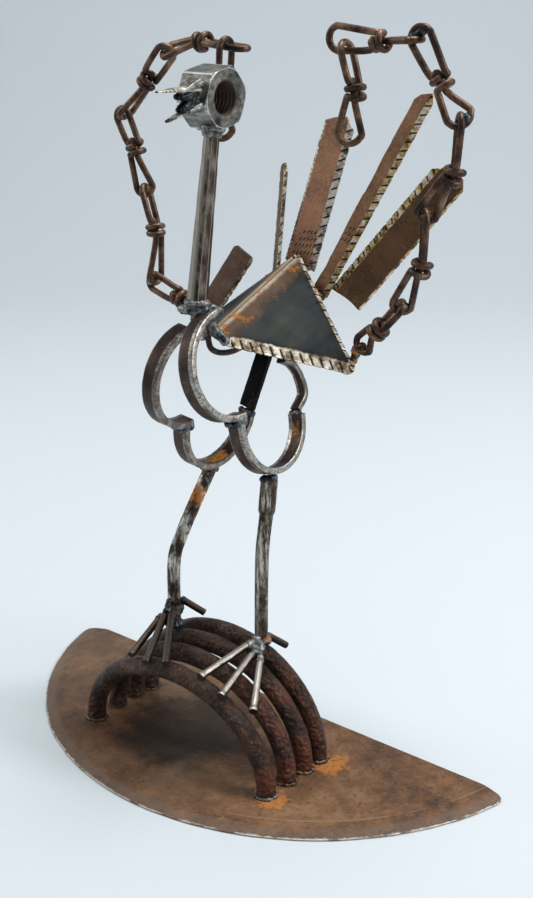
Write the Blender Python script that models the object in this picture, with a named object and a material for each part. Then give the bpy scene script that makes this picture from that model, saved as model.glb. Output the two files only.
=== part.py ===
"""Lyrebird welded from scrap steel, standing on an arched mound of spring bar on a cut coulter disc.

Metres, +Z up. The origin is under the middle of the base plate. +X runs along the plate's straight
edge to the bird's left, and -Y is the way the bird faces.
"""
import math

import bmesh
import bpy
from mathutils import Matrix, Vector

GAP = 0.0003                # left between pieces that touch

# Base plate: a segment of a flat disc
DISC_RADIUS = 0.2032
CHORD_OFFSET = 0.041        # from the disc's centre to the straight cut
PLATE_THICK = 0.0035
RIM_THICK = 0.0012
RIM_BEVEL = 0.009           # how far the sharpened bevel runs in from the rim
PLATE_CORNER = 0.009

# Spring bars: half coils side by side
SPRING_BAR = 0.014          # bar diameter
SPRING_HALF_SPAN = 0.080    # to the bar's middle line
SPRING_RISE = 0.061         # of the front bar
SPRING_STEP = 0.0027        # each bar stands this much higher than the one in front of it
SPRING_STUB = 0.003         # upright part of each foot
SPRING_X = -0.008
SPRING_FRONT_Y = -0.021
SPRING_SPACES = (0.008, 0.0045, 0.0025)     # between neighbouring bars, front to back

# The bird's middle plane and stance. Values in braces are by side: 1 is its left, -1 its right
MIDDLE_X = -0.012
STANCE_Y = {1: 0.034, -1: 0.024}            # where the feet stand
STRIDE = {1: 0.035, -1: 0.038}              # each foot's distance from the middle plane

# Legs and toes
LEG_BAR = 0.0098
SLEEVE_BAR = 0.0122         # the thicker top of the left leg
SLEEVE_LENGTH = 0.025
HUB_RISE = {1: 0.0015, -1: 0.0174}          # from the leg's foot up to the toes' roots
LEG_REACH = {1: (0, 0.008, 0.120), -1: (0.015, 0.024, 0.102)}      # from the toes' roots to the leg's top
# Bends on the way up: sideways, back, and the share of the leg's height
LEG_BENDS = {1: ((0, 0.001, 0.52), (0, 0.006, 0.79)),
             -1: ((0.004, -0.003, 0.36), (0.008, 0.001, 0.545), (0.012, 0.011, 0.76))}
LEG_SEAT = 0.003            # the leg's last stretch, square to the thigh
TOE_BAR = 0.005
TOE_SEAT = 0.0003           # extra height over the spring bars, as the toes cross them at a slant
# Each front toe's root (sideways, back, up) and tip (sideways, back) from where the toes meet the leg
FRONT_TOES = {1: (((-0.0025, -0.0080, 0), (-0.006, -0.058)),
                  ((0.0045, -0.0166, -0.004), (0.014, -0.060)),
                  ((0.0100, -0.0130, -0.005), (0.033, -0.049))),
              -1: (((-0.0056, -0.0077, -0.0094), (0.003, -0.049)),
                   ((-0.0010, -0.0077, -0.0048), (0.022, -0.054)),
                   ((0.0045, -0.0077, -0.0040), (0.038, -0.051)))}
HIND_TOE = {1: (0.005, 0.022), -1: (0.0175, 0.0135)}
HIND_DROP = 0.012

# Thighs: flat bar bent to arcs, a C that stands on the front arm of a U
FLAT_WIDTH = 0.0127
FLAT_THICK = 0.0045
FRONT_ARC = {1: 0.0355, -1: 0.034}          # middle line radius of the C
BACK_ARC = {1: 0.031, -1: 0.035}            # middle line radius of the U
U_END = {1: 360, -1: 348}                   # degrees at which its rear arm ends, 360 being upright
U_BEHIND_LEG = {1: 0.009, -1: 0.002}        # the U's lowest point behind the leg
ARC_SHIFT = {1: 0.049, -1: 0.040}           # from the U's centre up to the C's centre
THIGH_LEAN = {1: math.radians(13), -1: math.radians(7)}
BRACE_WIDTH = 0.008
BRACE_BENDS = ((0, 0), (0.0100, 0.0085), (0.0092, 0.021), (0.0035, 0.031), (-0.006, 0.0365))     # back, up
BRACE_AT_RIDGE = 0.92

# Body: two knife sections that meet at a ridge
SECTION_BACK = 0.098        # the straight back edge, along the ridge
SECTION_DEPTH = 0.080
SECTION_TIP = 0.013
SECTION_THICK = 0.003
RIDGE_PITCH = math.radians(22)
ROOF_PITCH = math.radians(32)
SECTION_SKEW = 0.0044       # the tip sits this far in front of the middle
SECTION_NOSE = 0.014        # end of the plain part of the front edge
RIDGE_BACK = 0.014          # the ridge starts behind and below the neck's foot
RIDGE_DROP = 0.023
KEEL_BAR = 0.0042
# The rod under the body, back and up from the ridge's front end
KEEL_BENDS = ((-0.004, -0.002), (-0.001, -0.010), (0.008, -0.015), (0.0224, -0.017), (0.040, -0.014))

TOOTH_PITCH = 0.0068
TOOTH_DEPTH = 0.0009

# Neck and head
NECK_FOOT = 0.0142          # across the bar at its foot
NECK_TOP = 0.0106
NECK_LENGTH = 0.110
NECK_LEAN = math.radians(9)
NECK_FORWARD = 0.008        # its foot stands this far in front of the left C's middle
NUT_FLATS = 0.0355
NUT_THICK = 0.025
NUT_SIDE = -0.003           # its middle from the bird's middle plane
NUT_BORE = 0.0212
NUT_MOUTH = 0.0236
NUT_CHAMFER = 0.0022        # taken off the corners at each face
NUT_TURN = math.radians(10)
BEAK_OPEN = 0.011           # between the blades' middle lines at the root
BEAK_RISE = 0.0053          # middle of the beak above the flat's middle
BEAK_LIFT = math.radians(12)                # the upper blade from square to the flat
BEAK_DROP = math.radians(6)                 # the lower blade
BEAK_SIDE = 0.005
BEAK_LENGTH = 0.035
BEAK_LOWER_LENGTH = 0.030
BEAK_ROOT = 0.010
BEAK_POINT = 0.003
BEAK_THICK = 0.0034
BEAK_WEB = 0.015            # length of the weld between the blades

# Feathers and chain
BLADE_THICK = 0.0024
WIRE = 0.0048
LOOP_HALF = 0.0062          # half width of a link's loop, to the wire's middle line
WIDE_LOOP = 0.0075
WAIST_HALF = 1.15 * WIRE    # half width where the loop leaves the knot
KNOT_HALF = 1.4 * WIRE      # from the knot's middle to where the loop leaves it
JOINT_PLAY = 0.0018         # between two hooked wires
CHAIN_Y = 0.090


def clear_scene():
    for item in list(bpy.data.objects):
        bpy.data.objects.remove(item)


def new_collection(name):
    group = bpy.data.collections.new(name)
    bpy.context.scene.collection.children.link(group)
    return group


def steel(name, colour, roughness, metallic=0.85):
    mat = bpy.data.materials.new(name)
    mat.use_nodes = True
    shader = mat.node_tree.nodes["Principled BSDF"]
    shader.inputs["Base Color"].default_value = (*colour, 1)
    shader.inputs["Roughness"].default_value = roughness
    shader.inputs["Metallic"].default_value = metallic
    return mat


def add_object(name, data, mat, place=None):
    data.materials.append(mat)
    item = bpy.data.objects.new(name, data)
    if place is not None:
        item.matrix_world = place
    parts.objects.link(item)
    return item


def tube(name, points, radius, mat, sides=2, radii=None):
    """Round bar along a list of points; sides is the bevel resolution."""
    curve = bpy.data.curves.new(name, "CURVE")
    curve.dimensions = "3D"
    curve.bevel_depth = radius
    curve.bevel_resolution = sides
    curve.use_fill_caps = True
    spline = curve.splines.new("POLY")
    spline.points.add(len(points) - 1)
    for spot, point in zip(spline.points, points):
        spot.co = (*point, 1)
    for spot, scale in zip(spline.points, radii or []):
        spot.radius = scale
    return add_object(name, curve, mat)


def flat_piece(name, outline, thickness, mat, place):
    """Plate cut to a flat outline, half its thickness each side of the outline's plane."""
    curve = bpy.data.curves.new(name, "CURVE")
    curve.dimensions = "2D"
    curve.fill_mode = "BOTH"
    curve.extrude = thickness / 2
    spline = curve.splines.new("POLY")
    spline.points.add(len(outline) - 1)
    for spot, (x, y) in zip(spline.points, outline):
        spot.co = (x, y, 0, 1)
    spline.use_cyclic_u = True
    return add_object(name, curve, mat, place)


def frame_at(origin, along, up_hint):
    """Matrix with local Y along a direction, and local Z as near to up_hint as it can be."""
    y_axis = Vector(along).normalized()
    x_axis = y_axis.cross(Vector(up_hint)).normalized()
    z_axis = x_axis.cross(y_axis)
    turn = Matrix((x_axis, y_axis, z_axis)).transposed().to_4x4()
    return Matrix.Translation(origin) @ turn


def smooth_path(points, steps):
    """Even points on a smooth curve through the given ones."""
    pts = [Vector(p) for p in points]
    ends = [2 * pts[0] - pts[1]] + pts + [2 * pts[-1] - pts[-2]]
    path = []
    for i in range(1, len(ends) - 2):
        before, start, stop, after = ends[i - 1:i + 3]
        for k in range(steps):
            t = k / steps
            path.append(0.5 * (2 * start + (stop - before) * t
                               + (2 * before - 5 * start + 4 * stop - after) * t * t
                               + (3 * start - before - 3 * stop + after) * t ** 3))
    return path + [pts[-1]]


def arc(centre, radius, start, stop, steps):
    """Points on a circle in the plane, angles in degrees."""
    turn = [math.radians(start + (stop - start) * k / steps) for k in range(steps + 1)]
    return [Vector((centre[0] + radius * math.cos(a), centre[1] + radius * math.sin(a))) for a in turn]


# Base plate

def segment_outline(inset):
    """Outline of the disc segment, with the round rim drawn in by inset. Origin at the disc's centre."""
    radius = DISC_RADIUS - inset
    corner = PLATE_CORNER
    low = -(CHORD_OFFSET + corner)
    side = math.sqrt((radius - corner) ** 2 - low ** 2)
    lean = math.degrees(math.atan2(low, side))
    right = arc((side, low), corner, 90, lean, 4)
    rim = arc((0, 0), radius, lean, -180 - lean, 48)[1:-1]
    left = arc((-side, low), corner, -180 - lean, -270, 4)
    return right + rim + left


def build_base():
    centre_y = (DISC_RADIUS + CHORD_OFFSET) / 2
    levels = ((0, 0), (0, RIM_THICK), (RIM_BEVEL, PLATE_THICK))
    bm = bmesh.new()
    rings = [[bm.verts.new((p.x, p.y + centre_y, z)) for p in segment_outline(inset)] for inset, z in levels]
    bm.faces.new(rings[0])
    bm.faces.new(rings[-1])
    for low, high in zip(rings, rings[1:]):
        for k, vert in enumerate(low):
            after = (k + 1) % len(low)
            bm.faces.new((vert, low[after], high[after], high[k]))
    bmesh.ops.recalc_face_normals(bm, faces=bm.faces)
    mesh = bpy.data.meshes.new("base_plate")
    bm.to_mesh(mesh)
    bm.free()
    return add_object("base_plate", mesh, rusty)


# Spring bars

def spring_rows():
    """Each bar's middle plane, front to back."""
    rows = [SPRING_FRONT_Y]
    for space in SPRING_SPACES:
        rows.append(rows[-1] + SPRING_BAR + space)
    return rows


def spring_line(number, x):
    """Height and slope of a bar's middle line at x, the front bar being number 0."""
    rise = SPRING_RISE + number * SPRING_STEP
    share = min(abs(x - SPRING_X) / SPRING_HALF_SPAN, 0.98)
    arch = math.sqrt(1 - share ** 2)
    return PLATE_THICK + GAP + SPRING_STUB + rise * arch, rise * share / SPRING_HALF_SPAN / arch


def over_springs(x, y, radius):
    """Height at which the middle of a round bar clears the spring bars at (x, y)."""
    reach = SPRING_BAR / 2 + radius + GAP
    height = 0
    for number, row in enumerate(spring_rows()):
        off = abs(y - row)
        if off < reach:
            middle, slope = spring_line(number, x)
            height = max(height, middle + math.sqrt((reach ** 2 - off ** 2) * (1 + slope ** 2)))
    return height


def build_springs():
    steps = 20
    foot = PLATE_THICK + GAP
    for number, row in enumerate(spring_rows()):
        rise = SPRING_RISE + number * SPRING_STEP
        points = [(SPRING_X - SPRING_HALF_SPAN, row, foot)]
        for k in range(steps + 1):
            turn = math.pi * k / steps
            points.append((SPRING_X - SPRING_HALF_SPAN * math.cos(turn), row,
                           foot + SPRING_STUB + rise * math.sin(turn)))
        points.append((SPRING_X + SPRING_HALF_SPAN, row, foot))
        tube(f"spring_bar_{number + 1}", points, SPRING_BAR / 2, dark_rust, sides=3)


# Legs and feet

def leg_foot(side):
    """Middle of the leg's lower end, which stands on the nearest spring bar."""
    x = MIDDLE_X + side * STRIDE[side]
    row = min(spring_rows(), key=lambda y: abs(y - STANCE_Y[side]))
    return Vector((x, STANCE_Y[side], over_springs(x - side * LEG_BAR / 2, row, 0)))


def hub(side):
    """Where the toes meet the leg."""
    return leg_foot(side) + Vector((0, 0, HUB_RISE[side]))


def leg_top(side):
    return hub(side) + Vector(LEG_REACH[side])


def thigh_up(side):
    return Vector((-side * math.sin(THIGH_LEAN[side]), 0, math.cos(THIGH_LEAN[side])))


def build_leg(side):
    low, high = hub(side), leg_top(side)
    bends = [low + Vector((x, y, share * LEG_REACH[side][2])) for x, y, share in LEG_BENDS[side]]
    path = [leg_foot(side)] + smooth_path([low] + bends + [high - thigh_up(side) * LEG_SEAT], 4) + [high]
    name = "leg_left" if side > 0 else "leg_right"
    sleeve = SLEEVE_BAR / LEG_BAR if side > 0 else 1
    scale = [sleeve if p.z > high.z - SLEEVE_LENGTH else 1 for p in path]
    return tube(name, path, LEG_BAR / 2, bright, sides=2, radii=scale)


def toe_rest(x, y):
    return over_springs(x, y, TOE_BAR / 2) + TOE_SEAT


def tip_height(root, x, y):
    """Lowest tip at which a straight toe from its root clears the spring bars."""
    height = toe_rest(x, y)
    for row in spring_rows():
        share = (root.y - row) / (root.y - y)
        if 0.1 < share < 1:
            need = toe_rest(root.x + share * (x - root.x), row)
            height = max(height, (need - (1 - share) * root.z) / share)
    return height


def build_toes(side):
    """Three front toes laid over the spring bars, and a hind toe."""
    name = "left" if side > 0 else "right"
    middle = hub(side)
    for number, (start, (x, y)) in enumerate(FRONT_TOES[side], 1):
        root = middle + Vector(start)
        root.z = max(root.z, toe_rest(root.x, root.y))
        tip = Vector((middle.x + x, middle.y + y, 0))
        tip.z = tip_height(root, tip.x, tip.y)
        tube(f"toe_{name}_{number}", [root, tip], TOE_BAR / 2, nail, sides=2)
    root = middle + Vector((0, LEG_BAR / 2 + TOE_BAR / 2 + GAP, 0))
    root.z = max(root.z, toe_rest(root.x, root.y))
    tip = middle + Vector((*HIND_TOE[side], -HIND_DROP))
    tip.z = max(tip.z, toe_rest(tip.x, tip.y))
    tube(f"toe_{name}_4", [root, tip], TOE_BAR / 2, nail, sides=2)


# Thighs

def thigh_frame(side):
    """Leaning plane of the flat bars: local X back, local Y up, local Z across the bar."""
    up = thigh_up(side)
    back = Vector((0, 1, 0))
    across = back.cross(up)
    turn = Matrix((back, up, across)).transposed().to_4x4()
    seat = leg_top(side) + up * (FLAT_THICK / 2 + GAP)
    return Matrix.Translation(seat) @ turn


def bent_flat(name, middle_line, width, thick, mat, place):
    """Flat bar bent along a line in its own plane."""
    outer, inner = [], []
    for k, point in enumerate(middle_line):
        before = middle_line[max(k - 1, 0)]
        after = middle_line[min(k + 1, len(middle_line) - 1)]
        along = (after - before).normalized()
        side = Vector((-along.y, along.x)) * thick / 2
        outer.append(point + side)
        inner.append(point - side)
    return flat_piece(name, outer + inner[::-1], width, mat, place)


def build_thigh(side):
    """The U rests on the leg's top at the local origin, and the C stands on the U's front arm."""
    name = "left" if side > 0 else "right"
    place = thigh_frame(side)
    back_centre = Vector((U_BEHIND_LEG[side], BACK_ARC[side]))
    front_centre = back_centre + Vector((-BACK_ARC[side], ARC_SHIFT[side]))
    arm_top = front_centre.y - FRONT_ARC[side] - FLAT_THICK / 2 - GAP
    u_line = [Vector((front_centre.x, arm_top))] + arc(back_centre, BACK_ARC[side], 180, U_END[side], 15)
    c_line = arc(front_centre, FRONT_ARC[side], 97, 278, 16)
    bent_flat(f"thigh_back_{name}", u_line, FLAT_WIDTH, FLAT_THICK, flat_steel, place)
    bent_flat(f"thigh_front_{name}", c_line, FLAT_WIDTH, FLAT_THICK, flat_steel, place)
    return place, u_line[-1]


def thigh_summit(side):
    """Highest point of the C."""
    rise = BACK_ARC[side] + ARC_SHIFT[side] + FRONT_ARC[side]
    return thigh_frame(side) @ Vector((U_BEHIND_LEG[side] - BACK_ARC[side], rise, 0))


def build_braces(left_thigh, right_thigh):
    """From the U's rear end up to the body: a curved strip on the left, a straight bar on the right."""
    place, end = left_thigh
    start = end + Vector((0, FLAT_THICK / 2 + 2 * GAP))
    strip = smooth_path([start + Vector(bend) for bend in BRACE_BENDS], 3)
    bent_flat("brace_left", strip, BRACE_WIDTH, FLAT_THICK * 0.9, flat_steel, place)
    place, end = right_thigh
    start = place @ Vector((end.x, end.y + FLAT_THICK, 0))
    stop = ridge_point(BRACE_AT_RIDGE) - Vector((0, 0, SECTION_THICK * 3))
    along = stop - start
    spot = frame_at(start, along, (0, -1, 0.4))
    half = FLAT_WIDTH / 2
    outline = [(-half, 0.001), (half, 0.001), (half, along.length), (-half, along.length)]
    flat_piece("brace_right", outline, FLAT_THICK, black_steel, spot)


# Neck and head

def neck_foot():
    left = thigh_summit(1)
    lift = FLAT_THICK / 2 + FLAT_WIDTH / 2 * math.sin(THIGH_LEAN[1]) + NECK_FOOT / 2 * math.sin(NECK_LEAN)
    return Vector((MIDDLE_X, left.y - NECK_FORWARD, left.z + lift + 2 * GAP))


def neck_way():
    return Vector((0, math.sin(NECK_LEAN), math.cos(NECK_LEAN)))


def nut_centre():
    """The neck's end meets one of the nut's lower flats at a slant."""
    slant = math.radians(30) - NECK_LEAN - NUT_TURN
    seat = (NUT_FLATS / 2 + NECK_TOP / 2 * math.sin(slant)) / math.cos(slant) + GAP
    return neck_foot() + neck_way() * (NECK_LENGTH + seat) + Vector((NUT_SIDE, 0, 0))


def build_neck():
    """Tapered eight-sided bar."""
    bm = bmesh.new()
    bmesh.ops.create_cone(bm, cap_ends=True, segments=8, radius1=NECK_FOOT / 2, radius2=NECK_TOP / 2,
                          depth=NECK_LENGTH)
    bmesh.ops.translate(bm, verts=bm.verts, vec=(0, 0, NECK_LENGTH / 2))
    mesh = bpy.data.meshes.new("neck")
    bm.to_mesh(mesh)
    bm.free()
    place = Matrix.Translation(neck_foot()) @ Matrix.Rotation(-NECK_LEAN, 4, "X")
    return add_object("neck", mesh, bright, place)


def add_cone(name, segments, radius_low, radius_high, depth, place, group):
    bm = bmesh.new()
    bmesh.ops.create_cone(bm, cap_ends=True, segments=segments, radius1=radius_low, radius2=radius_high,
                          depth=depth)
    mesh = bpy.data.meshes.new(name)
    bm.to_mesh(mesh)
    bm.free()
    item = bpy.data.objects.new(name, mesh)
    item.matrix_world = place
    group.objects.link(item)
    return item


def cut_with(item, tool, operation):
    tool.hide_render = True
    tool.display_type = "WIRE"
    step = item.modifiers.new(tool.name, "BOOLEAN")
    step.object = tool
    step.operation = operation
    step.solver = "EXACT"


def build_nut():
    """Hex nut on its side, its hole running from cheek to cheek as the eye."""
    half_side = math.radians(30)
    corner = NUT_FLATS / 2 / math.cos(half_side)
    sideways = Matrix.Rotation(math.radians(90), 4, "Y")
    place = Matrix.Translation(nut_centre()) @ Matrix.Rotation(NUT_TURN + half_side, 4, "X") @ sideways
    nut = add_cone("head_nut", 6, corner, corner, NUT_THICK, place, parts)
    nut.data.materials.append(bright)
    bore = add_cone("nut_bore", 24, NUT_BORE / 2, NUT_BORE / 2, NUT_THICK * 2, place, cutters)
    cut_with(nut, bore, "DIFFERENCE")
    mouth = NUT_MOUTH - NUT_BORE
    depth = 2 * NUT_THICK
    face = corner - NUT_CHAMFER
    spread = math.tan(math.radians(60))
    for number, flip in enumerate((0, 180)):
        cheek = place @ Matrix.Rotation(math.radians(flip), 4, "X") @ Matrix.Translation((0, 0, NUT_THICK / 2))
        sink = add_cone(f"nut_mouth_{number}", 24, NUT_MOUTH / 2 - mouth, NUT_MOUTH / 2 + mouth, 2 * mouth,
                        cheek, cutters)
        cut_with(nut, sink, "DIFFERENCE")
        inward = cheek @ Matrix.Translation((0, 0, mouth - depth / 2))
        low, high = face + (depth - mouth) * spread, face - mouth * spread
        bevel = add_cone(f"nut_corner_{number}", 48, low, high, depth, inward, cutters)
        cut_with(nut, bevel, "INTERSECT")
    return nut


def beak_frame(rise, tilt, stand_off):
    """On the nut's front flat: local Y out of it, tilted up, and local Z up along it."""
    out = Vector((0, -math.cos(NUT_TURN), -math.sin(NUT_TURN)))
    up = Vector((0, -math.sin(NUT_TURN), math.cos(NUT_TURN)))
    root = nut_centre() + Vector((BEAK_SIDE, 0, 0)) + out * (NUT_FLATS / 2 + stand_off) + up * rise
    return frame_at(root, out * math.cos(tilt) + up * math.sin(tilt), up)


def build_beak():
    """Two tapered blades on the nut's front flat, with a weld between their roots."""
    blades = (("beak_upper", BEAK_RISE + BEAK_OPEN / 2, BEAK_LIFT, BEAK_LENGTH),
              ("beak_lower", BEAK_RISE - BEAK_OPEN / 2, -BEAK_DROP, BEAK_LOWER_LENGTH))
    for name, rise, tilt, length in blades:
        spot = beak_frame(rise, tilt, GAP + BEAK_THICK / 2 * math.sin(abs(tilt)))
        half, point = BEAK_ROOT / 2, BEAK_POINT / 2
        outline = [(-half, 0), (half, 0), (half * 0.8, length * 0.45), (point, length), (-point, length),
                   (-half * 0.8, length * 0.45)]
        flat_piece(name, outline, BEAK_THICK, bright, spot)
    clear = BEAK_OPEN / 2 - BEAK_THICK / 2 - 2 * GAP
    widen = BEAK_WEB * math.tan(BEAK_LIFT)
    spot = beak_frame(BEAK_RISE, 0, GAP) @ Matrix.Rotation(math.radians(90), 4, "Y")
    outline = [(-clear, 0), (clear, 0), (clear, BEAK_WEB), (-clear * 0.2, BEAK_WEB * 0.75),
               (-clear - widen, BEAK_WEB)]
    flat_piece("beak_weld", outline, BEAK_ROOT * 0.6, weld_steel, spot)


# Body

def ridge_point(share):
    """Point on the ridge, from its front end (0) to its rear end (1)."""
    front = neck_foot() + Vector((0, RIDGE_BACK, -RIDGE_DROP))
    return front + share * SECTION_BACK * Vector((0, math.cos(RIDGE_PITCH), math.sin(RIDGE_PITCH)))


def section_frame(side):
    """Plane of one knife section: local X along the ridge, local Y out to the tip."""
    along = Vector((0, math.cos(RIDGE_PITCH), math.sin(RIDGE_PITCH)))
    down = Vector((0, math.sin(RIDGE_PITCH), -math.cos(RIDGE_PITCH)))
    out = side * math.cos(ROOF_PITCH) * Vector((1, 0, 0)) + math.sin(ROOF_PITCH) * down
    turn = Matrix((along, out, along.cross(out))).transposed().to_4x4()
    return Matrix.Translation(ridge_point(0)) @ turn


def toothed(start, stop, pitch, depth):
    """Edge from start to stop, notched like a saw on its left."""
    reach = stop - start
    count = max(2, round(reach.length / pitch))
    along = reach / count
    inward = Vector((-along.y, along.x)).normalized() * depth
    points = []
    for k in range(count):
        points.append(start + along * k)
        points.append(start + along * (k + 0.82))
        points.append(start + along * (k + 0.9) + inward)
    return points


def section_corners():
    inner = SECTION_THICK / 2 * math.tan(ROOF_PITCH) + GAP
    middle = SECTION_BACK / 2 - SECTION_SKEW
    return (Vector((0, inner)), Vector((SECTION_BACK, inner)), Vector((middle + SECTION_TIP / 2, SECTION_DEPTH)),
            Vector((middle - SECTION_TIP / 2, SECTION_DEPTH)))


def build_section(side):
    name = "body_plate_left" if side > 0 else "body_plate_right"
    front, rear, tip_rear, tip_front = section_corners()
    nose = Vector((0, SECTION_NOSE))
    tail = Vector((SECTION_BACK, 0.004))
    middle = (tip_rear + tip_front) / 2
    tip = arc(middle, SECTION_TIP / 2, 0, 180, 6)
    outline = [front, rear, tail] + toothed(tail, tip[0], TOOTH_PITCH, TOOTH_DEPTH) + tip
    outline += toothed(tip[-1], nose, TOOTH_PITCH, TOOTH_DEPTH)[1:] + [nose]
    flat_piece(name, outline, SECTION_THICK, blue_steel, section_frame(side))


def rear_edge(side, share):
    """Point on a section's rear edge, from the ridge (0) to the tip (1)."""
    front, rear, tip_rear, tip_front = section_corners()
    spot = rear.lerp(tip_rear, share)
    return section_frame(side) @ Vector((spot.x, spot.y, 0))


def build_keel():
    path = [ridge_point(0) + Vector((0, back, up)) for back, up in KEEL_BENDS]
    tube("keel_rod", smooth_path(path, 4), KEEL_BAR / 2, black_steel, sides=1)


# Tail feathers

# name, side of the body, share down the rear edge, root moved off the edge (x, y, z),
# way the blade points, length, width at the root and near the tip, which way it faces (degrees)
FEATHERS = (
    ("feather_1", -1, 0.96, (-0.003, 0.010, 0.008), (29, 10, 48), 0.053, 0.0175, 0.018, 10, "square"),
    ("feather_2", -1, 0.30, (0.000, 0.010, -0.003), (3, 5, 72), 0.082, 0.015, 0.015, -33, "point"),
    ("feather_3", 1, 0.05, (-0.008, 0.009, -0.006), (30, 6, 105), 0.110, 0.0245, 0.0225, 10, "point"),
    ("feather_4", 1, 0.40, (-0.006, 0.009, 0.000), (79, 6, 141), 0.161, 0.014, 0.014, -7, "slant"),
    ("feather_5", 1, 0.52, (0.010, 0.009, 0.006), (85, -7, 95), 0.128, 0.025, 0.024, 30, "hollow"),
)


def build_feather(name, side, share, shift, way, length, wide_root, wide_tip, facing, tip):
    root = rear_edge(side, share) + Vector(shift)
    face = math.radians(facing)
    spot = frame_at(root, way, (math.sin(face), -math.cos(face), 0))
    low, high = wide_root / 2, wide_tip / 2
    left = [Vector((-low, 0)), Vector((-high, length * 0.93))]
    right = [Vector((high, length * 0.93)), Vector((low, 0))]
    ends = {
        "square": [(-high * 0.7, length), (high * 0.7, length)],
        "point": [(-high * 0.4, length * 0.97), (high * 0.3, length)],
        "slant": [(-high * 0.5, length * 0.97), (high * 0.4, length), (high * 0.8, length * 0.99)],
        "hollow": [(-high * 0.5, length * 0.99), (high * 0.6, length)],
    }
    outline = [left[0]] + [Vector(p) for p in [left[1]] + ends[tip]]
    outline += toothed(right[0], right[1], TOOTH_PITCH, TOOTH_DEPTH)
    outline.append(right[1])
    flat_piece(name, outline[::-1], BLADE_THICK, blade_steel, spot)


# Chains

# Joints of each chain from the body's tip upwards (x, z), and the knots between them
LEFT_JOINTS = ((0.061, 0.287), (0.093, 0.320), (0.108, 0.381), (0.132, 0.441), (0.099, 0.489), (0.033, 0.484))
LEFT_KNOTS = ((0.0766, 0.3025), (0.108, 0.348), (0.1285, 0.408), (0.117, 0.462), (0.0715, 0.4835))
RIGHT_JOINTS = ((-0.085, 0.291), (-0.1255, 0.305), (-0.130, 0.371), (-0.1515, 0.424), (-0.106, 0.470),
                (-0.035, 0.474))
RIGHT_KNOTS = ((-0.099, 0.297), (-0.1203, 0.3435), (-0.138, 0.400), (-0.1245, 0.448), (-0.073, 0.477))
# How far each link's lower and upper loop is turned about the chain (0 lies in the chain's plane). Two
# loops that hook together add up to 90. Then the half widths of the two loops
LEFT_LOOPS = ((0, 129, LOOP_HALF, LOOP_HALF), (-39, 129, LOOP_HALF, LOOP_HALF), (-39, 129, LOOP_HALF, WIDE_LOOP),
              (-39, 0, WIDE_LOOP, WIDE_LOOP), (90, 0, LOOP_HALF, WIDE_LOOP))
RIGHT_LOOPS = ((0, 0, LOOP_HALF, LOOP_HALF), (90, 110, LOOP_HALF, LOOP_HALF), (-20, 0, LOOP_HALF, LOOP_HALF),
               (90, 39, LOOP_HALF, LOOP_HALF), (51, 90, LOOP_HALF, LOOP_HALF))
# The link that hangs free in each chain's last loop: how far out along the loop, its knot and its lower
# end (x, z), and its own loops
LEFT_HANGER = (0.69, (0.0545, 0.4525), (0.049, 0.420), (-39, 90, WIDE_LOOP, LOOP_HALF))
RIGHT_HANGER = (0.69, (-0.049, 0.444), (-0.053, 0.415), (-39, 90, WIDE_LOOP, LOOP_HALF))


def loop_points(knot, end, side, half, steps=5):
    """From the knot round the far end of a loop and back, half the width each side."""
    along = (end - knot).normalized()
    turn_at = end - along * half
    points = [knot + along * KNOT_HALF + side * min(half, WAIST_HALF)]
    for k in range(steps + 1):
        a = math.pi * k / steps
        points.append(turn_at + side * half * math.cos(a) + along * half * math.sin(a))
    return points


def wrap(centre, along, side, face, reach, start, stop, steps=5):
    """Part of a turn of wire round the waist of a link."""
    points = []
    for k in range(steps + 1):
        a = math.radians(start + (stop - start) * k / steps)
        slide = along * reach * (0.5 - k / steps)
        points.append(centre + slide + WIRE * 1.12 * (side * math.cos(a) + face * math.sin(a)))
    return points


def side_way(along, turn):
    """Across the link: turned from the chain's plane about the link's own line."""
    flat = Vector((along.z, 0, -along.x)).normalized()
    deep = along.cross(flat)
    a = math.radians(turn)
    return (flat * math.cos(a) + deep * math.sin(a)).normalized()


def build_link(name, low, knot, high, loops):
    """One wire: a wrap round the waist, a loop each way, and a wrap to finish."""
    turn_low, turn_high, half_low, half_high = loops
    down, up = (low - knot).normalized(), (high - knot).normalized()
    side_low, side_high = side_way(down, turn_low), side_way(up, turn_high)
    face_low, face_high = down.cross(side_low), up.cross(side_high)
    spot = WIRE * 0.62
    path = wrap(knot + down * spot, down, side_low, face_low, -WIRE * 0.5, -290, 0)
    path += loop_points(knot, low, side_low, half_low)
    path += [knot + down * WIRE * 1.3, knot + up * WIRE * 1.3]
    path += loop_points(knot, high, -side_high, half_high)
    path += wrap(knot + up * spot, up, side_high, face_high, WIRE * 0.5, 0, 290)
    return tube(name, path, WIRE / 2, chain_steel, sides=1)


def hook_point(knot, end, turn, half, share):
    """Top of the wire on the lower or nearer side of a loop, at a share of the way out, plus half a wire."""
    way = end - knot
    straight = way.length - half - KNOT_HALF
    out = min(max((share * way.length - KNOT_HALF) / straight, 0), 1)
    offset = WAIST_HALF + out * (half - WAIST_HALF)
    return knot + share * way - side_way(way.normalized(), turn) * offset + Vector((0, 0, WIRE + GAP))


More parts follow.
